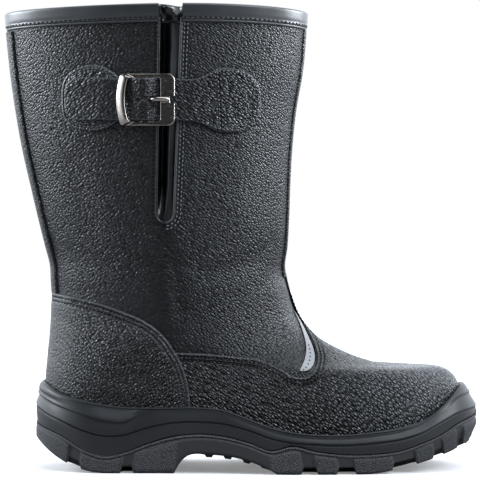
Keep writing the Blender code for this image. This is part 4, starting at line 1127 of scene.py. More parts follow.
# soft creases of the shaft, each a line in the side view with its depth and width in mm
shaftCreases = [
    {"line": [(89, 163), (91, 148), (95, 128), (99, 108)], "deep": 0.9, "wide": 5.0},
    {"line": [(160, 150), (148, 141), (132, 134), (118, 132)], "deep": 0.8, "wide": 6.0},
    {"line": [(164, 132), (150, 122), (136, 116)], "deep": 0.7, "wide": 6.0},
    {"line": [(14, 150), (34, 141), (52, 138)], "deep": 0.6, "wide": 7.0},
    {"line": [(30, 205), (34, 180), (40, 160)], "deep": 0.5, "wide": 9.0},
    {"line": [(140, 220), (136, 190), (140, 165)], "deep": -0.6, "wide": 12.0},
]


def slitSides(z):
    # x of the straight lines that the slit's edges follow
    held = np.clip((np.asarray(z, float) - slit["low"]) / (slit["top"] - slit["low"]), 0.0, 1.0)
    return [foot + (head - foot) * held for foot, head in (slit["left"], slit["right"])]


def slitEdges(z):
    # x of the slit's edges: straight lines drawn together in a round foot
    left, right = slitSides(z)
    above = np.asarray(z, float) - slit["low"]
    spread = np.where(above <= 0, 0.0, roundOff(above, slit["round"]))
    middle, half = (left + right) / 2, (right - left) / 2 * spread
    return middle - half, middle + half


def angleAt(level, x):
    # angle of the outer side's point at x on a level
    backX, _, frontX = sectionAt(level)[:3]
    return np.arccos(np.clip(1 - 2 * (x - backX) / (frontX - backX), -1, 1))


def creaseDepth(points):
    # sum of soft troughs along the crease lines on the outer side, half as deep past the middle
    flat = points[..., [0, 2]]
    near = (points[..., 1] < creaseLimits[0]) & (points[..., 2] > creaseLimits[1])
    depth = np.zeros(points.shape[:-1])
    for crease in shaftCreases:
        line = roundedLine(crease["line"], 1.5)
        trough = crease["deep"] * bell(distanceTo(flat, line), crease["wide"])
        depth = depth + trough * np.where(points[..., 1] < 0, 1.0, 0.5)
    return np.where(near, depth, 0.0)


def buildUpper():
    # rows are levels, columns run round from the slit's right edge to its left edge; below the
    # slit both edges meet and close the wall
    fine = np.linspace(0, collar, 1500)
    side = lastPoint(fine, 1.3)
    run = runAlong(side)
    even = np.interp(np.linspace(0, run[-1], slit["rows"]), run, fine)
    footLevels = np.interp(slit["low"] + np.array(slit["footRows"]), side[:, 2], fine)
    level = np.sort(np.concatenate([even, footLevels]))[:, None]
    z = np.interp(level, fine, side[:, 2])
    left, right = slitEdges(z)
    start, end = angleAt(level, right), twoPi + angleAt(level, left)
    angle = start + (end - start) * np.linspace(0, 1, slit["columns"])
    base, normal = lastPoint(level, angle), lastNormal(level, angle)
    x, y, height = np.moveaxis(base, -1, 0)
    depth = creaseDepth(base)
    far = 99.0
    toRight = np.where((y < 0) & (x >= right), x - right, far)
    toLeft = np.where((y < 0) & (x <= left), left - x, far)
    toSlit = np.where(z > slit["low"], np.minimum(toRight, toLeft), far)
    bead, beadAt, groove, grooveAt = slit["swell"]
    swell = bead * bell(toSlit - beadAt, 0.8) - groove * bell(toSlit - grooveAt, 0.8)
    outer = base + normal * (swell - depth)[..., None]
    inner = base - normal * (last["wall"] + depth)[..., None]
    amount, topZ, frontX, run = slit["ankle"]
    ankle = amount * ease((topZ - height) / run) * ease((frontX - x) / run)
    amount, reach, run, topZ, fade = slit["instep"]
    toFront = sectionAt(level)[2] - x
    instep = amount * (ease((reach - toFront) / run) * ease((topZ - height) / fade))
    calm = np.maximum(ankle, instep)
    press = np.maximum(bell(toSlit - 2.4, 1.6) + (toSlit < 2.0), calm)
    first = np.flatnonzero(z >= slit["low"])[0]
    rims = [np.stack([outer[k], inner[k]]) for k in (0, -1)]
    rims += [np.stack([outer[first:, k], inner[first:, k]], axis=1) for k in (0, -1)]
    faces = [patch(outer, 0, press=np.clip(press, 0, 1)), patch(inner, 1)]
    patches = faces + [patch(rim) for rim in rims]
    addPiece("upper_wall", patches, [shaftLeather, liningCloth], ["upper"])


def footLine(offset):
    # line round the slit: down the left edge, round its foot and up the right edge
    foot, other = slit["left"][0], slit["right"][0]
    high = slit["low"] + slit["round"]
    turn = np.linspace(math.pi, twoPi, 24)
    arcX = (other + foot) / 2 + ((other - foot) / 2 + offset) * np.cos(turn)
    arc = np.stack([arcX, high + (slit["round"] + offset) * np.sin(turn)], axis=-1)
    z = np.arange(300.0, high, -1.5)
    left, right = slitEdges(z)
    down = np.stack([left - offset, z], axis=-1)
    up = np.stack([right + offset, z], axis=-1)[::-1]
    return np.concatenate([down, arc, up])


def buildSlitEdge():
    # rolled edge round the slit in two tubes that meet at its foot, and the stitches beside it:
    # two pale rows along the right edge, one dark row along the left
    line = resample(footLine(-0.15), 1.2)
    level, angle = shaftParams(line[:, 0], line[:, 1])
    path, out = onLast(level, angle, -0.55), lastNormal(level, angle)
    foot = int(np.argmin(line[:, 1]))
    for name, part, finish in (
        ("slit_edge_left", slice(0, foot + 2), gussetLeather),
        ("slit_edge_right", slice(foot + 1, None), pipingLeather),
    ):
        tube = tubePatches(path[part], out[part], slit["roll"], 10)
        addPiece(name, tube, [finish])
    for number, offset in enumerate(slit["seams"]):
        seam = resample(footLine(offset), 1.0)
        half = len(seam) // 2
        sewOnShaft(seam[half:], 0.1, stitchLook)
        if number == 0:
            sewOnShaft(seam[:half], 0.1, darkStitch)


gusset = {
    "low": 159.0,
    "high": 300.0,
    "thick": 1.3,
    "wide": 12.0,  # width of the slit, mm, at which the profile is rounded
    "opens": 30.0,  # mm above the slit's foot over which the fold opens
    "back": (2.0, 270.0, 18.0),  # mm that it stands back near the collar: from what height, its run
    "crumple": (1.4, 276.0, 14.0),  # crumples near the collar, the same
    "pale": (0.86, 0.26, 0.12, 205.0, 50.0),  # paler band along the ridge, paler upwards: place, width, least, height and run
    # across the slit: x from the left edge in shares of the slit's width, depth behind the wall
    "profile": [
        (-0.62, 0.0), (-0.05, 0.0), (0.05, 4.0), (0.14, 9.0), (0.24, 11.5), (0.36, 11.0), (0.44, 7.0),
        (0.48, 3.6), (0.54, 1.5), (0.66, 0.3), (0.8, 0.2), (0.95, 0.9), (1.06, 1.6), (1.6, 1.6),
    ],
}


def buildGusset():
    # bellows behind the slit: a folded profile across it, opening upwards from the slit's foot,
    # with soft crumples near the collar
    z = np.linspace(gusset["low"], gusset["high"], 110)[:, None]
    scale = (gusset["wide"], 1.0)
    profile = roundedLine(np.array(gusset["profile"]) * scale, 0.2)
    across, fold = (profile[np.linspace(0, len(profile) - 1, 90).astype(int)] / scale).T
    left, right = slitSides(z)
    x = left + (right - left) * across
    opened = ease((z - slit["low"]) / gusset["opens"])
    far, start, run = gusset["back"]
    behind = far * ease((z - start) / run)
    deep, start, run = gusset["crumple"]
    crumple = deep * np.sin(z / 5.2 + x / 3.0) * ease((z - start) / run) * bell(across - 0.7, 0.35)
    depth = last["wall"] + last["gap"] + behind + fold * opened + np.clip(crumple, -0.6, 2.0)
    place, wide, least, start, run = gusset["pale"]
    pale = bell(across - place, wide) * (least + (1 - least) * ease((z - start) / run))
    outer, inner = [onShaft(x, z, -depth - more) for more in (0.0, gusset["thick"])]
    patches = sheetPatches(outer, inner, 0, pale=pale)
    addPiece("gusset_fold", patches, [gussetLeather], ["gusset"])
    # gathered top of the fold, crossing the slit just under the collar
    u, v = np.linspace(-0.35, 1.3, 70)[None, :], np.linspace(0, 1, 46)[:, None]
    left, right = slit["left"][1], slit["right"][1]
    x = left + (right - left) * u
    z = 297.5 - 3.0 * u + (10.4 + 1.2 * u) * v
    folds = 1.5 * np.sin(4.6 * u + 4.2 * v - 0.6) + 0.7 * np.sin(9.0 * u - 7.0 * v + 1.0)
    inside = ease((u + 0.1) / 0.25) * ease((1.1 - u) / 0.25)
    roll = 1.2 * np.clip((v - 0.85) / 0.15, 0, 1) ** 2 + 1.2 * np.clip((0.15 - v) / 0.15, 0, 1) ** 2
    depth = last["wall"] + 1.2 + inside * (1.8 + folds) + roll
    faces = [onShaft(x, z, -depth - more) for more in (0.0, gusset["thick"])]
    for face in faces:
        face[..., 2] += 1.2 * v**3
    addPiece("gusset_top", sheetPatches(*faces), [gussetLeather])


buildUpper()
buildSlitEdge()
buildGusset()
print("shaft built")

# Stitched-on panels

counter = {
    "edge": [
        (22.4, 116.6), (34.6, 114.4), (48.4, 111.0), (60.5, 106.8), (75.0, 100.8), (81.5, 96.6),
        (89.0, 89.6), (95.6, 80.6), (100.9, 70.6), (104.4, 59.0), (106.4, 40.0),
    ],
    "backEdge": [(-12.0, 119.4), (9.0, 118.8), (22.4, 116.6), (34.6, 114.4)],
    "rows": 64,
    "tuck": 3.0,  # mm that the panel goes down behind the sole's rim
    "backAngle": 0.78,  # up to which the edge follows backEdge
    "tops": (13.0, 12.0),  # levels above the back edge and above the edge
    "fan": (0.24, 0.55),  # share of the edge's run, and the angle at the rim under it
    "crowd": 1.7,  # how far its rows crowd to the edge
    "seamFrom": (12.5, 99.0),  # x and height past which it is stitched
    "calm": (0.7, 40.0, 22.0),  # grain smoothed at the rear: how far, behind what x, the run
    "lap": 0.9,  # rise over the vamp
    "lapRun": (1.08, 0.14),  # angle where it begins, and its run
    "stitch": (2.6, 5.4),
}
vamp = {
    "edge": [
        (98.0, 79.6), (116.5, 78.8), (138.5, 76.2), (151.7, 73.9), (158.7, 70.8), (167.9, 66.0),
        (175.9, 63.4), (182.8, 63.8), (187.6, 67.6), (189.6, 74.0), (188.4, 81.0), (184.2, 90.1),
        (178.8, 99.7), (173.0, 107.5), (168.5, 117.0), (165.8, 126.0), (165.2, 131.6),
    ],
    "rows": 76,
    "tuck": 3.0,
    "top": 12.2,  # level above its tongue
    "back": 1.12,  # angle of its rear end
    "corner": (182.8, 1.98),  # x where the edge turns up to the tongue, the angle at the rim under it
    "crowd": 1.6,
    "seamSpan": (96.0, 122.0),  # stitched in front of this x and under this height
    "calmFrom": 222.0,  # x where the toe cap's smoother grain begins
    "stitch": (2.4, 4.8),
}


def tuckedLevel(angle, tuck):
    # level a little under the sole's rim
    return levelAtHeight(angle, lambda x: soleLine("rim", x) - tuck, sole["rimTop"])


def ruled(bottomLevel, bottomAngle, topLevel, topAngle, rows, crowd):
    # grid in level and angle between a lower and an upper line, its rows crowded to the upper one
    s = (1 - (1 - np.linspace(0, 1, rows)) ** crowd)[:, None]
    level = bottomLevel[None] * (1 - s) + topLevel[None] * s
    angle = bottomAngle[None] * (1 - s) + topAngle[None] * s
    return level, angle


def panelSheet(level, angle, edgePath, under, seams, calm):
    # sheet on the last: its outer face rounded off along the edge and pressed in along seam lines,
    # its grain smoothed where calm, a function of x and z, is high
    base, normal = lastPoint(level, angle), lastNormal(level, angle)
    toEdge = distanceTo(base, edgePath)
    lift = under + last["overlay"] * (0.3 + 0.7 * roundOff(toEdge, 1.3))
    for seam in seams:
        lift = lift - 0.32 * bell(toEdge - seam, 0.8)
    press = np.maximum(1 - toEdge / 1.6, 0) + sum(bell(toEdge - seam, 0.9) for seam in seams)
    press = np.maximum(np.clip(press, 0, 1), calm(base[..., 0], base[..., 2]))
    outer = base + normal * lift[..., None]
    inner = base - normal * last["sunk"]
    # rim marks where a painted highlight runs along the edge
    return sheetPatches(outer, inner, 0, press=press, rim=bell(toEdge - 0.7, 0.55))


def counterLap(angle):
    # how far the heel panel rises over the vamp, by the angle from the heel
    start, run = counter["lapRun"]
    return counter["lap"] * ease((np.abs(angle) - start) / run)


def heelCalm(x, _):
    # how far the heel's grain is smoothed, by x alone
    amount, end, run = counter["calm"]
    return amount * ease((end - x) / run)


def buildCounter():
    # heel panel: ruled between the sole's rim and its own edge, mirrored to the inner side
    backTop, edgeTop = counter["tops"]
    backAngles = np.linspace(0.0, counter["backAngle"], 34)
    edgeX, edgeZ = np.array(counter["backEdge"]).T
    backLevels = levelAtHeight(backAngles, lambda x: curveThrough(edgeX, edgeZ, x), backTop)
    line = roundedLine(counter["edge"], 1.0)
    frontLevels, frontAngles = paramsAt(line[:, 0], line[:, 1], 0.0, edgeTop)
    first = np.flatnonzero(frontAngles > backAngles[-1] + 0.02)[0]
    topAngle = np.concatenate([backAngles, frontAngles[first:]])
    topLevel = np.concatenate([backLevels, frontLevels[first:]])
    above = np.flatnonzero(topLevel > tuckedLevel(topAngle, counter["tuck"]) + 0.02)
    topAngle, topLevel = topAngle[: above[-1] + 1], topLevel[: above[-1] + 1]
    run = runAlong(lastPoint(topLevel, topAngle))
    share, turn = counter["fan"]
    bottomAngle = np.interp(run / run[-1], [0, share, 1], [0, turn, topAngle[-1]])
    bottomLevel = tuckedLevel(bottomAngle, counter["tuck"])
    bottomLevel[-1], bottomAngle[-1] = topLevel[-1], topAngle[-1]
    both = lambda values: np.concatenate([values[:0:-1], values])
    turned = lambda values: np.concatenate([-values[:0:-1], values])
    lines = both(bottomLevel), turned(bottomAngle), both(topLevel), turned(topAngle)
    level, angle = ruled(*lines, counter["rows"], counter["crowd"])
    under = last["gap"] + counterLap(angle)
    patches = panelSheet(level, angle, lastPoint(*lines[2:]), under, counter["stitch"], heelCalm)
    addPiece("heel_panel", patches, [heelLeather], ["heel_counter"])
    edge = roundedLine(counter["backEdge"][:2] + counter["edge"], 1.0)
    for distance in counter["stitch"]:
        seam = roundedLine(moved(edge, -distance), 1.0)
        seam = seam[(seam > counter["seamFrom"]).all(axis=1)]
        seamLevel, seamAngle = paramsAt(seam[:, 0], seam[:, 1], 0.0, backTop)
        lift = last["gap"] + last["overlay"] - 0.3 + counterLap(seamAngle)
        for side in (1, -1):
            sewAlong(seamLevel, side * seamAngle, lift, darkStitch)


def toeCalm(x, z):
    # how far the toe cap's grain is smoothed: most on its top and its front
    start = vamp["calmFrom"]
    return 0.55 * ease((x - start) / 40.0) * np.maximum(ease((z - 48.0) / 12.0), ease((x - start) / 45.0))


def buildVamp():
    # forefoot panel: ruled between the sole's rim and its edge up to the tongue, both sides
    line = roundedLine(vamp["edge"], 0.9)
    edgeLevel, edgeAngle = paramsAt(line[:, 0], line[:, 1], 0.0, vamp["top"])
    edgeAngle = np.maximum.accumulate(edgeAngle)
    added = 7  # columns added behind the edge and over the tongue's tip
    lead = np.linspace(vamp["back"], edgeAngle[0], added + 1)[:-1]
    tip = np.linspace(edgeAngle[-1], math.pi, added + 1)[1:]
    topAngle = np.concatenate([lead, edgeAngle, tip])
    topLevel = np.pad(edgeLevel, added, mode="edge")
    run = runAlong(lastPoint(topLevel, topAngle))
    cornerX, turn = vamp["corner"]
    corner = run[np.argmin(np.abs(line[:, 0] - cornerX)) + added] / run[-1]
    bottomAngle = np.interp(run / run[-1], [0, corner, 1], [vamp["back"], turn, math.pi])
    bottomLevel = tuckedLevel(bottomAngle, vamp["tuck"])
    both = lambda values: np.concatenate([values, values[-2::-1]])
    turned = lambda values: np.concatenate([values, twoPi - values[-2::-1]])
    lines = both(bottomLevel), turned(bottomAngle), both(topLevel), turned(topAngle)
    level, angle = ruled(*lines, vamp["rows"], vamp["crowd"])
    edgePath = lastPoint(lines[2][5:-5], lines[3][5:-5])
    patches = panelSheet(level, angle, edgePath, last["gap"], vamp["stitch"], toeCalm)
    addPiece("vamp_panel", patches, [vampLeather], ["vamp"])
    fromX, topZ = vamp["seamSpan"]
    for distance in vamp["stitch"]:
        seam = moved(line, -distance)
        seam = seam[(seam[:, 0] > fromX) & (seam[:, 1] < topZ)]
        seamLevel, seamAngle = paramsAt(seam[:, 0], seam[:, 1], 0.0, vamp["top"])
        for onSide in (seamAngle, twoPi - seamAngle):
            sewAlong(seamLevel, onSide, last["gap"] + last["overlay"] - 0.25, darkStitch)


crescent = {
    "inner": [(174.4, 106.0), (178.2, 98.0), (181.0, 90.0), (182.6, 82.5), (181.6, 74.6), (177.7, 67.1)],
    "outer": [
        (174.4, 106.0), (179.4, 97.8), (183.8, 89.0), (187.3, 80.6), (188.2, 75.0), (186.6, 70.2),
        (182.8, 67.4), (177.7, 67.1),
    ],
    "lifts": (0.75, 0.2),  # of its two faces
    "wide": 6.0,
}


def layFilm(piece, middle):
    # UV map in the side view: run along the crescent's middle line, and the share across it
    points = np.zeros(len(piece.data.vertices) * 3)
    piece.data.vertices.foreach_get("co", points)
    placed = (points.reshape(-1, 3) * 1000 + origin)[:, [0, 2]]
    near = np.linalg.norm(placed[:, None] - middle[None], axis=-1).argmin(1)
    normal = np.stack([-np.gradient(middle[:, 1]), np.gradient(middle[:, 0])], axis=-1)
    away = ((placed - middle[near]) * unit(normal)[near]).sum(-1)
    film = np.stack([runAlong(middle)[near], 0.5 + away / crescent["wide"]], axis=-1)
    corners = np.zeros(len(piece.data.loops), np.int32)
    piece.data.loops.foreach_get("vertex_index", corners)
    layer = piece.data.uv_layers.new(name="film")
    layer.data.foreach_set("uv", film[corners].ravel())


def buildCrescents():
    # reflective film: ruled between two curves of the side view, one on each side of the instep
    t = np.linspace(0, 1, 70)
    curves = []
    for name in ("inner", "outer"):
        line = roundedLine(crescent[name], 0.2)
        curves.append(line[np.round(t * (len(line) - 1)).astype(int)])
    share = np.linspace(0, 1, 12)[None, :, None]
    flat = curves[0][:, None] * (1 - share) + curves[1][:, None] * share
    level, angle = paramsAt(flat[..., 0], flat[..., 1], 0.0, 12.0)
    for name, node, turned in (
        ("crescent_outer_side", "reflector_lateral", angle),
        ("crescent_inner_side", "reflector_medial", twoPi - angle),
    ):
        outer, inner = [onLast(level, turned, lift) for lift in crescent["lifts"]]
        piece = addPiece(name, sheetPatches(outer, inner), [crescentFilm], [node])
        layFilm(piece, (curves[0] + curves[1]) / 2)


strips = {
    "back": {"node": "backstay", "middle": 0.0, "half": 0.31, "low": 10.0, "high": 18.7, "thick": 1.5},
    "front": {
        "node": "front_seam", "middle": math.pi, "half": 0.143, "low": 11.62, "high": 18.7, "thick": 1.0,
    },
}
stripSeam = 2.6  # mm from a strip's edge to its stitches


def buildStrips():
    # backstay and front seam: bands of the last between two angles, edges rounded off
    for name, look in strips.items():
        middle, half = look["middle"], look["half"]
        turn = np.linspace(-half, half, 49)
        level = np.linspace(look["low"], look["high"], 190)[:, None]
        angle = (middle + turn)[None, :]
        base = lastPoint(level, angle)
        run = runAlong(base[len(base) // 2])
        toEdge = np.minimum(run, run[-1] - run)[None, :]
        lift = last["gap"] + look["thick"] * (0.25 + 0.75 * roundOff(toEdge, 1.2))
        lift = lift - 0.25 * bell(toEdge - stripSeam, 0.7)
        press = np.clip(bell(toEdge - stripSeam, 0.9) + bell(toEdge, 1.2), 0, 1)
        outer, inner = onLast(level, angle, lift), onLast(level, angle, -last["sunk"])
        patches = sheetPatches(outer, inner, 0, press=press)
        addPiece(name + "_strip", patches, [shaftLeather], [look["node"]])
        levels = np.linspace(look["low"] + 0.2, look["high"], 200)
        for edge in (-1, 1):
            seamAngle = middle + edge * (half - np.interp(stripSeam, run, turn - turn[0]))
            sewAlong(levels, seamAngle, last["gap"] + look["thick"] - 0.2, stitchLook)


binding = {"high": 9.0, "thick": 1.3, "seam": 1.3, "piping": 0.95, "clear": 0.2}


def buildBinding():
    # strip folded over the collar: a U profile carried round it from one side of the slit to the
    # other, its lower edge slightly wavy, with a thin piping under it
    left, right = slit["left"][1] - binding["clear"], slit["right"][1] + binding["clear"]
    angle = np.linspace(float(angleAt(collar, right)), float(twoPi + angleAt(collar, left)), 300)
    top = lastPoint(collar, angle)
    up = unit(top - lastPoint(collar - 0.2, angle))
    out = lastNormal(collar, angle)
    g, thick, wall, high = last["gap"], binding["thick"], last["wall"], binding["high"]
    turn = np.linspace(0, math.pi, 15)
    halfWall = wall / 2 + g + thick
    cap = np.stack([-wall / 2 + halfWall * np.cos(turn), 0.1 + 1.65 * np.sin(turn)], axis=-1)
    outside = [
        (g - 0.2, -high), (g + 0.35 * thick, -high - 0.05), (g + 0.8 * thick, -high + 0.3),
        (g + thick, -high + 0.9), (g + 0.78 * thick, -high + binding["seam"]), (g + thick, -high + 2.7),
        (g + thick * 1.05, -high + 5.0), (g + thick, -1.2),
    ]
    inside = [(-wall - x, z) for x, z in outside[::-1]]
    below = [(-wall - 0.1, -high + 0.6), (0.1, -high + 0.6), outside[0]]
    across, rise = np.concatenate([outside, cap, inside, below]).T
    wave = 0.16 * np.sin(angle * 37.0) + 0.1 * np.sin(angle * 61.0 + 1.0)
    rise = rise + wave[:, None] * np.clip(-rise / high, 0, 1)
    rings = top[:, None] + out[:, None] * across[:, None] + up[:, None] * rise[..., None]
    ends = [np.broadcast_to(ring.mean(axis=0), ring.shape)[None] for ring in (rings[0], rings[-1])]
    patches = [patch(np.concatenate([ends[0], rings, ends[1]]))]
    addPiece("collar_strip", patches, [trimLeather], ["collar_binding"], 55.0)
    seam = top + out * (g + 0.86 * thick) + up * (binding["seam"] - high)
    stitch(seam, out, dict(darkStitch, pitch=3.4, long=2.4))
    line = top + out * (g - 0.1) - up * (high + binding["piping"] * 0.8)
    tube = tubePatches(line, out, binding["piping"], 10)
    addPiece("collar_piping", tube, [pipingLeather])


buildCounter()
buildVamp()
buildCrescents()
buildStrips()
buildBinding()
print("panels built")

# Strap with its wing, rear tab, buckle and prong

strap = {
    "worn": (0.5, 108.0, 6.0),  # how far the strap's own grain is flattened, up to what x, its fade
    "rise": 1.2,  # of the wing's middle layer above the shaft
    # x, rise of its middle layer above the shaft, lower and upper edge
    "rows": [
        (23.4, 3.2, 243.0, 251.0), (24.4, 3.2, 238.6, 255.6), (27.0, 3.2, 235.0, 259.0),
        (31.0, 3.2, 233.2, 260.9), (40.0, 3.2, 232.8, 261.2), (50.0, 3.2, 232.6, 260.8),
        (56.0, 2.9, 232.3, 260.5), (61.0, 2.9, 232.3, 260.5), (64.0, 3.5, 232.3, 260.5),
        (67.0, 5.0, 232.3, 260.5), (70.5, 6.9, 232.3, 260.5), (74.0, 7.8, 232.3, 260.5),
        (77.5, 6.9, 232.3, 260.5), (81.0, 4.4, 232.3, 260.5), (84.0, 2.6, 232.3, 260.5),
        (88.0, 1.7, 232.3, 260.5), (93.0, 1.4, 232.3, 260.4), (99.0, 1.3, 232.0, 260.0),
        (107.0, 1.2, 231.6, 260.0), (114.0, 1.2, 230.0, 261.6), (119.0, 1.2, 227.4, 264.6),
        (124.0, 1.2, 225.2, 267.0), (132.0, 1.2, 224.6, 267.4), (140.0, 1.2, 225.6, 266.0),
        (146.0, 1.2, 228.6, 262.6), (150.0, 1.2, 233.6, 257.6), (152.0, 1.2, 240.0, 251.6),
    ],
    "thick": 1.6,
    "hole": (72.4, 245.6, 1.6),
    "slot": (79.4, 246.4, 4.2, 1.9),  # for the prong: middle, half length, half height
    "across": (124.2, 0.045, 246.0),  # seam across the wing: its x at a height, slope, that height
    "seam": [
        (112.5, 260.3), (119, 263.0), (124, 264.9), (132, 265.2), (140, 263.6), (145, 260.6),
        (148.4, 256), (149.8, 246), (148.4, 235.6), (145, 230.8), (140, 227.9), (132, 226.9),
        (124, 227.5), (119, 229.4), (112.5, 231.8),
    ],
}
tab = {
    "rise": 1.1,
    "rows": [
        (20.6, 1.1, 242.0, 252.0), (21.6, 1.1, 236.6, 257.6), (24.4, 1.1, 231.8, 262.4),
        (29.5, 1.1, 228.2, 266.4), (37.0, 1.1, 226.4, 268.8), (44.0, 1.1, 226.2, 269.2),
        (50.0, 1.1, 227.4, 267.6), (55.0, 1.1, 230.0, 264.4), (58.5, 1.0, 232.6, 261.6),
        (64.0, 1.0, 234.0, 260.0), (69.0, 1.1, 234.0, 260.0),
    ],
    "thick": 1.2,
    "seam": [
        (57, 263.0), (50, 265.3), (44, 266.8), (37, 266.4), (30.5, 264.2), (26, 260.6), (23.8, 256),
        (23.1, 247), (23.8, 238), (26, 233.6), (30.5, 230.5), (37, 228.8), (44, 228.6), (50, 229.8),
        (57, 231.4),
    ],
}
buckle = {
    "x": 78.2, "z": 245.6, "long": 35.4, "high": 34.2,
    "rounds": (1.7, 4.4),  # radii of the corners at the end bar and at the plate
    "windowRound": 2.0,
    "endBar": 5.2, "rail": 2.7, "plate": 9.6,  # widths
    "bow": 2.9,  # of the end bar
    "low": 3.6, "top": 5.2, "bevel": 0.7,  # heights above the shaft
    "lift": 1.5, "slope": 2.0,  # of the end bar
    "notch": (3.2, 4.6), "channel": (3.6, 0.9),  # for the prong: length and height, height and depth
    "barX": 74.0, "barRise": 3.9, "barRadius": 1.1,
    "lean": 0.09,
}
prong = {
    "tip": 92.4,
    # x, rise above the shaft and radius
    "rows": [
        (78.6, 4.6, 0.7), (80.0, 6.0, 0.95), (82.0, 7.3, 1.2), (84.5, 7.7, 1.45), (88.0, 7.2, 1.6),
        (91.0, 6.4, 1.6), (92.0, 6.1, 1.5),
    ],
}


def stripGrid(rows, count, across):
    # middle line and edges of a strip at even runs along it, and shares across it
    rows = np.asarray(rows, float)
    step = np.linalg.norm(np.diff(rows[:, :2], axis=0), axis=1) + 0.35 * np.abs(np.diff(rows[:, 2]))
    run = np.concatenate([[0], np.cumsum(step)])
    at = np.linspace(0, run[-1], count)
    x, rise, low, high = [curveThrough(run, column, at) for column in rows.T]
    even = np.linspace(0, 1, across)
    share = (1 - np.cos(math.pi * even)) / 2 * 0.35 + even * 0.65
    z = low[:, None] * (1 - share) + high[:, None] * share
    return x, rise, z


def stripFaces(x, rise, z, lift, thick):
    # outer and inner grid of a strip: its middle line moved half its thickness to either side
    along = unit(np.gradient(np.stack([x, rise], axis=-1), axis=0))
    faces = []
    for reach in (0.5 * thick + lift, -0.5 * thick):
        movedX = x[:, None] - along[:, 1:] * reach
        faces.append(onShaft(movedX, z, rise[:, None] + along[:, :1] * reach))
    return faces


def wingSeam(z):
    # x of the seam across the wing, a slanted line
    place, slope, middle = strap["across"]
    return place - slope * (z - middle)


def buildStrap():
    # wing and strap: one sheet over the shaft, with a punched hole, the prong's slot and a seam
    x, rise, z = stripGrid(strap["rows"], 280, 60)
    gridX = np.broadcast_to(x[:, None], z.shape)
    flat = np.stack([gridX, z], axis=-1)
    border = np.concatenate([flat[:, 0], flat[-1], flat[::-1, -1], flat[0][::-1]])
    toEdge = distanceTo(flat, resample(border, 0.5))
    holeX, holeZ, holeR = strap["hole"]
    toHole = np.hypot(gridX - holeX, z - holeZ)
    hole = 1 - ease((toHole - holeR * 0.6) / (holeR * 0.5))
    slotX, slotZ, halfLong, halfHigh = strap["slot"]
    toSlot = np.hypot(np.maximum(np.abs(gridX - slotX) - halfLong + halfHigh, 0), z - slotZ)
    slot = 1 - ease((toSlot - halfHigh * 0.7) / (halfHigh * 0.4))
    # the hole and the slot are sunk, pressed flat and painted near black as shade inside them
    dark = np.maximum(hole, slot)
    seam = bell(gridX - wingSeam(z), 0.8)
    crease = 0.5 * np.sin((gridX - 0.4 * z) / 4.6) * ease((gridX - 112) / 10) * 0.35
    lift = -strap["thick"] * 0.75 * (1 - roundOff(toEdge, 1.3)) - 1.2 * dark - 0.45 * seam
    lift = lift + crease * ease(toEdge / 4)
    amount, end, run = strap["worn"]
    worn = amount * ease((end - gridX) / run)
    press = np.clip(np.maximum.reduce([dark, seam, worn, 1 - toEdge / 1.5]), 0, 1)
    # rim marks a painted highlight along the edges and in a ring round the hole
    rim = np.maximum(bell(toEdge - 0.8, 0.5), bell(toHole - holeR * 1.15, 0.4))
    outer, inner = stripFaces(x, rise, z, lift, strap["thick"])
    patches = sheetPatches(outer, inner, 0, press=press, hole=dark, rim=rim)
    addPiece("strap_wing", patches, [wingLeather], ["strap"])
    top = strap["rise"] + strap["thick"] / 2
    seamZ = np.linspace(226.5, 265.5, 60)
    sewOnShaft(np.stack([wingSeam(seamZ), seamZ], axis=-1), top - 0.3, stitchLook)
    sewOnShaft(roundedLine(strap["seam"], 0.8), top - 0.12, stitchLook)


def buildTab():
    # rear patch whose neck turns round the buckle's centre bar
    radius = buckle["barRadius"] + last["gap"] + tab["thick"] / 2
    turn = np.linspace(-math.pi / 2, math.pi / 2, 9)
    bar = zip(buckle["barX"] + radius * np.cos(turn), buckle["barRise"] + radius * np.sin(turn))
    low, high = tab["rows"][-1][2:]
    rows = tab["rows"] + [(barX, barRise, low, high) for barX, barRise in bar]
    x, rise, z = stripGrid(rows, 150, 60)
    shown = 110  # rows of the patch before its neck turns round the bar
    flat = np.stack([np.broadcast_to(x[:, None], z.shape), z], axis=-1)[:shown]
    border = resample(np.concatenate([flat[::-1, 0], flat[0], flat[:, -1]]), 0.5)
    toEdge = np.full(z.shape, 9.0)
    toEdge[:shown] = distanceTo(flat, border)
    lift = -tab["thick"] * 0.7 * (1 - roundOff(toEdge, 1.1)) - 0.25 * bell(toEdge - 2.4, 0.8)
    press = np.clip(np.maximum(1 - toEdge / 1.4, bell(toEdge - 2.4, 0.9)), 0, 1)
    outer, inner = stripFaces(x, rise, z, lift, tab["thick"])
    # rim marks a painted highlight along the edge
    patches = sheetPatches(outer, inner, 0, press=press, rim=bell(toEdge - 0.7, 0.5))
    addPiece("rear_patch", patches, [tabLeather], ["buckle_tab"])
    top = tab["rise"] + tab["thick"] / 2
    sewOnShaft(roundedLine(tab["seam"], 0.8), top - 0.15, stitchLook)


def buckleAxes():
    # point on the shaft under the buckle, and its plane: along the strap, up the shaft and outward
    level, angle = shaftParams(buckle["x"], buckle["z"])
    point, out = lastPoint(level, angle), lastNormal(level, angle)
    out = unit(out + np.array([0.0, 0.0, buckle["lean"]]))
    up = unit(np.array([0.0, 0.0, 1.0]) - out * out[2])
    along = np.cross(up, out)
    return point, along * np.sign(along[0]), up, out


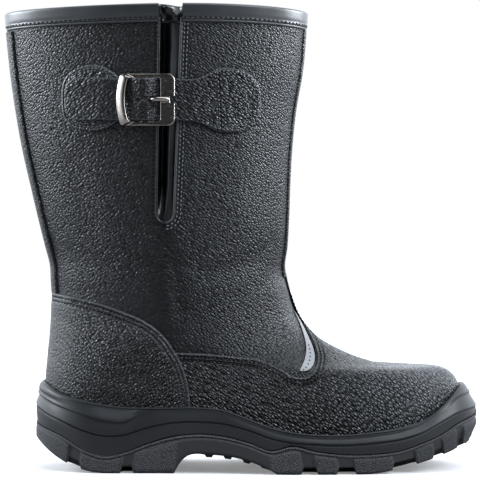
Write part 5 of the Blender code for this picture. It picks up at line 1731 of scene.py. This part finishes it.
def roundedFrame(left, right, low, high, radii, bow, sideCount, cornerCount):
    # closed outline with round corners whose left side bows out; sides and corners evenly divided
    small, large = radii
    corners = [
        (left + small, low + small, 180.0, small), (right - large, low + large, 270.0, large),
        (right - large, high - large, 0.0, large), (left + small, high - small, 90.0, small),
    ]
    arcs = []
    for x, z, start, radius in corners:
        turn = np.radians(start + np.linspace(0, 90, cornerCount))
        arcs.append(np.stack([x + radius * np.cos(turn), z + radius * np.sin(turn)], axis=-1))
    parts = []
    for i, arc in enumerate(arcs):
        following = arcs[(i + 1) % 4][0]
        t = np.linspace(0, 1, sideCount)[1:-1, None]
        parts += [arc, arc[-1] * (1 - t) + following * t]
    loop = np.concatenate(parts)
    middle, half = (low + high) / 2, (high - low) / 2
    nearLeft = np.clip(1 - (loop[:, 0] - left) / (small + 5.0), 0, 1)
    loop[:, 0] -= bow * nearLeft * (1 - ((loop[:, 1] - middle) / half) ** 2)
    return loop


def buildBuckle():
    # frame: outline and window mixed along a rounded profile, the end bar lifted, a notch and a
    # channel for the prong in the plate; the centre bar is a tube between the rails
    point, along, up, out = buckleAxes()
    halfLong, halfHigh, endBar = buckle["long"] / 2, buckle["high"] / 2, buckle["endBar"]
    size = (-halfLong, halfLong, -halfHigh, halfHigh)
    outer = roundedFrame(*size, buckle["rounds"], buckle["bow"], 56, 12)
    openHigh = halfHigh - buckle["rail"]
    size = (endBar - halfLong, halfLong - buckle["plate"], -openHigh, openHigh)
    inner = roundedFrame(*size, (buckle["windowRound"],) * 2, buckle["bow"] * 0.8, 56, 12)
    notchLong, notchHigh = buckle["notch"]
    inNotch = ease((notchHigh / 2 + 0.2 - np.abs(outer[:, 1])) / 0.5) * (outer[:, 0] > 0)
    outer[:, 0] -= notchLong * inNotch
    wide = np.linalg.norm(outer - inner, axis=-1)
    middleX, middleZ = ((outer + inner) / 2).T
    lift = buckle["lift"] * ease((endBar - halfLong + 1.5 - middleX) / endBar)
    crown = ease((endBar - halfLong + 2.0 - middleX) / 4.0)
    low, top = buckle["low"] + 0.3 * lift, buckle["top"] + lift
    channelHigh, channelDeep = buckle["channel"]
    channel = ease((channelHigh / 2 + 0.15 - np.abs(middleZ)) / 0.5) * (middleX > 0) * channelDeep
    bevel, slope = buckle["bevel"], buckle["slope"]
    bend = np.linspace(0, math.pi / 2, 5)
    none = np.zeros_like(wide)
    steps = [(none, low), (none, top - bevel)]  # inset and height of each ring round the profile
    steps += [(bevel * (1 - np.cos(b)), top - bevel + bevel * np.sin(b)) for b in bend]
    for s in np.linspace(0.1, 0.9, 9):
        sunk = channel * ease(s / 0.12) * ease((1 - s) / 0.12)
        raised = crown * (slope * s + 0.5 * np.sin(math.pi * s))
        steps.append((bevel + (wide - 2 * bevel) * s, top - sunk + raised))
    top = top + crown * slope
    steps += [(wide - bevel * (1 - np.cos(b)), top - bevel + bevel * np.sin(b)) for b in bend[::-1]]
    steps += [(wide, low), (wide * 0.5, low), (none, low)]
    rings = []
    for inset, height in steps:
        flat = outer + (inner - outer) * (inset / wide)[:, None]
        rings.append(point + flat[:, :1] * along + flat[:, 1:] * up + height[:, None] * out)
    rings = np.array(rings)
    rings = np.concatenate([rings, rings[:, :1]], axis=1)
    reach = halfHigh - 0.5 * buckle["rail"]
    t = np.linspace(-reach, reach, 12)[:, None]
    bar = point + (buckle["barX"] - buckle["x"]) * along + t * up + buckle["barRise"] * out
    tube = tubePatches(bar, np.broadcast_to(out, bar.shape), buckle["barRadius"], 16)
    addPiece("buckle_frame", [patch(rings)] + tube, [buckleMetal], ["buckle"], 32.0)


def buildProng():
    # tapered pin through the strap on to the plate, blunt at its tip
    point, along, _, out = buckleAxes()
    xs, rises, radii = np.array(prong["rows"]).T
    at = np.linspace(xs[0], xs[-1], 40)
    radius = curveThrough(xs, radii, at) * np.clip(roundOff(prong["tip"] - at, 1.4), 0.3, 1)
    rise = curveThrough(xs, rises, at)
    path = point + (at - buckle["x"])[:, None] * along + rise[:, None] * out
    tube = tubePatches(path, np.broadcast_to(out, path.shape), radius, 18)
    addPiece("prong_pin", tube, [buckleMetal], ["prong"], 60.0)


buildTab()
buildStrap()
buildBuckle()
buildProng()
print("strap and buckle built")


def buildStitching():
    # the stitches of each thread in one mesh: side faces between the rings, two faces on each end
    ring = np.arange(stitchPoints).reshape(-1, stitchForm["sides"])
    sides = gridQuads(np.concatenate([ring, ring[:, :1]], axis=1))
    caps = np.array([(3, 2, 1, 0), (5, 4, 3, 0), (18, 19, 20, 21), (18, 21, 22, 23)])
    one = np.concatenate([sides, caps])
    for shade, finish in (("light", seamThread), ("dark", darkThread)):
        points = np.concatenate(stitchShapes[shade])
        quads = (np.arange(len(points))[:, None, None] * stitchPoints + one[None]).reshape(-1, 4)
        mesh = bpy.data.meshes.new("stitching_" + shade)
        fillMesh(mesh, points.reshape(-1, 3), quads)
        turnOutwards(mesh)
        placePiece("stitching_" + shade, mesh, [finish], (), 80.0)
        print("stitches,", shade, "thread:", len(points))


buildStitching()

# Pale floor and soft studio light

studio = {
    "floor": 4.0,  # half size, m
    "floorColours": (grey(0.25, 0.25, 0.25), grey(0.28, 0.28, 0.28)),
    "floorSeen": grey(0.78, 0.78, 0.78),  # its colour where the camera sees it directly
    "glow": 0.22,  # white that it adds there
    "sky": (0.03, 2.1),  # the surround's light on the camera's side and behind the boot
    "boxes": [  # soft boxes at its right and left: where each begins and is full, and its light
        {"side": 1.0, "edge": 0.4, "full": 0.97, "light": 1.25},
        {"side": -1.0, "edge": 0.45, "full": 0.97, "light": 1.8},
    ],
    "tint": grey(0.93, 1.0, 1.08),
    "keys": [  # far lights: the direction that each comes from
        {"name": "key right", "strength": 1.7, "spread": 34.0, "from": (0.66, -0.46, 0.6)},
        {"name": "key left", "strength": 0.6, "spread": 26.0, "from": (-0.83, -0.18, 0.53)},
        {"name": "top", "strength": 1.15, "spread": 50.0, "from": (0.2, -0.2, 1.0)},
    ],
    "panels": [  # near light panels beside the shaft and the toe, m
        {"name": "panel right", "place": (0.48, 0.06, 0.5), "wide": 0.4, "watts": 1.0, "fan": 50.0,
         "aim": (-0.06, 0.0, 0.35)},
        {"name": "panel left", "place": (-0.6, 0.02, 0.5), "wide": 0.4, "watts": 1.35, "fan": 70.0,
         "aim": (-0.06, 0.0, 0.35)},
        {"name": "panel toe", "place": (0.52, -0.22, 0.36), "wide": 0.3, "watts": 0.05, "fan": 36.0,
         "aim": (0.14, 0.0, 0.05)},
    ],
}
white = grey(1.0, 1.0, 1.0)


def buildFloor():
    # flat square; camera rays see it paler than the light that it throws on the boot
    half = studio["floor"]
    mesh = bpy.data.meshes.new("floor")
    spots = [(-half, -half, 0), (half, -half, 0), (half, half, 0), (-half, half, 0)]
    mesh.from_pydata(spots, [], [(0, 1, 2, 3)])
    floor = bpy.data.objects.new("floor", mesh)
    bpy.context.scene.collection.objects.link(floor)
    material, shader, place = newFinish("pale floor")
    cloud = noise(place, 3.0, 2.0)
    direct = place.make("LightPath", out="Is Camera Ray")
    colour = direct.blend(cloud.blend(*studio["floorColours"]), studio["floorSeen"])
    feed(shader, BaseColor=colour, Roughness=0.7 + cloud * 0.1, SpecularIORLevel=0.2)
    feed(shader, EmissionColor=direct.blend(grey(0.0, 0.0, 0.0), white), EmissionStrength=studio["glow"])
    mesh.materials.append(material)


def buildSurround():
    # light of the surround by direction: dim on the camera's side, bright behind the boot, with a
    # soft box at either side; the camera itself sees plain white
    world = bpy.data.worlds.new("surround")
    bpy.context.scene.world = world
    world.use_nodes = True
    direction = Wire(world.node_tree).make("TexCoord", out="Generated")
    across = coordinate(direction, "X")
    seen = direction.make("LightPath", out="Is Camera Ray")
    front, behind = studio["sky"]
    strength = coordinate(direction, "Y").soft(0.1, 0.65) * (behind - front) + front
    for box in studio["boxes"]:
        strength = strength + (across * box["side"]).soft(box["edge"], box["full"]) * box["light"]
    background = world.node_tree.nodes["Background"]
    feed(background, Strength=strength * (1 - seen) + seen, Color=seen.blend(studio["tint"], white))


def addLamp(name, kind, power, away):
    # light that shines against the given direction
    data = bpy.data.lights.new(name, kind)
    data.energy = power
    data.color = studio["tint"][:3]
    lamp = bpy.data.objects.new(name, data)
    bpy.context.scene.collection.objects.link(lamp)
    lamp.rotation_euler = Vector(away).to_track_quat("Z", "Y").to_euler()
    return lamp


def buildStudio():
    # floor, surround, far lights from three directions and near panels that the camera doesn't see
    buildFloor()
    buildSurround()
    for look in studio["keys"]:
        lamp = addLamp(look["name"], "SUN", look["strength"], look["from"])
        lamp.data.angle = math.radians(look["spread"])
    for look in studio["panels"]:
        away = Vector(look["place"]) - Vector(look["aim"])
        lamp = addLamp(look["name"], "AREA", look["watts"], away)
        lamp.location = look["place"]
        lamp.visible_camera = False
        lamp.data.size = look["wide"]
        lamp.data.spread = math.radians(look["fan"])
    bpy.context.scene.view_settings.view_transform = "Standard"


buildStudio()
print("studio lit")
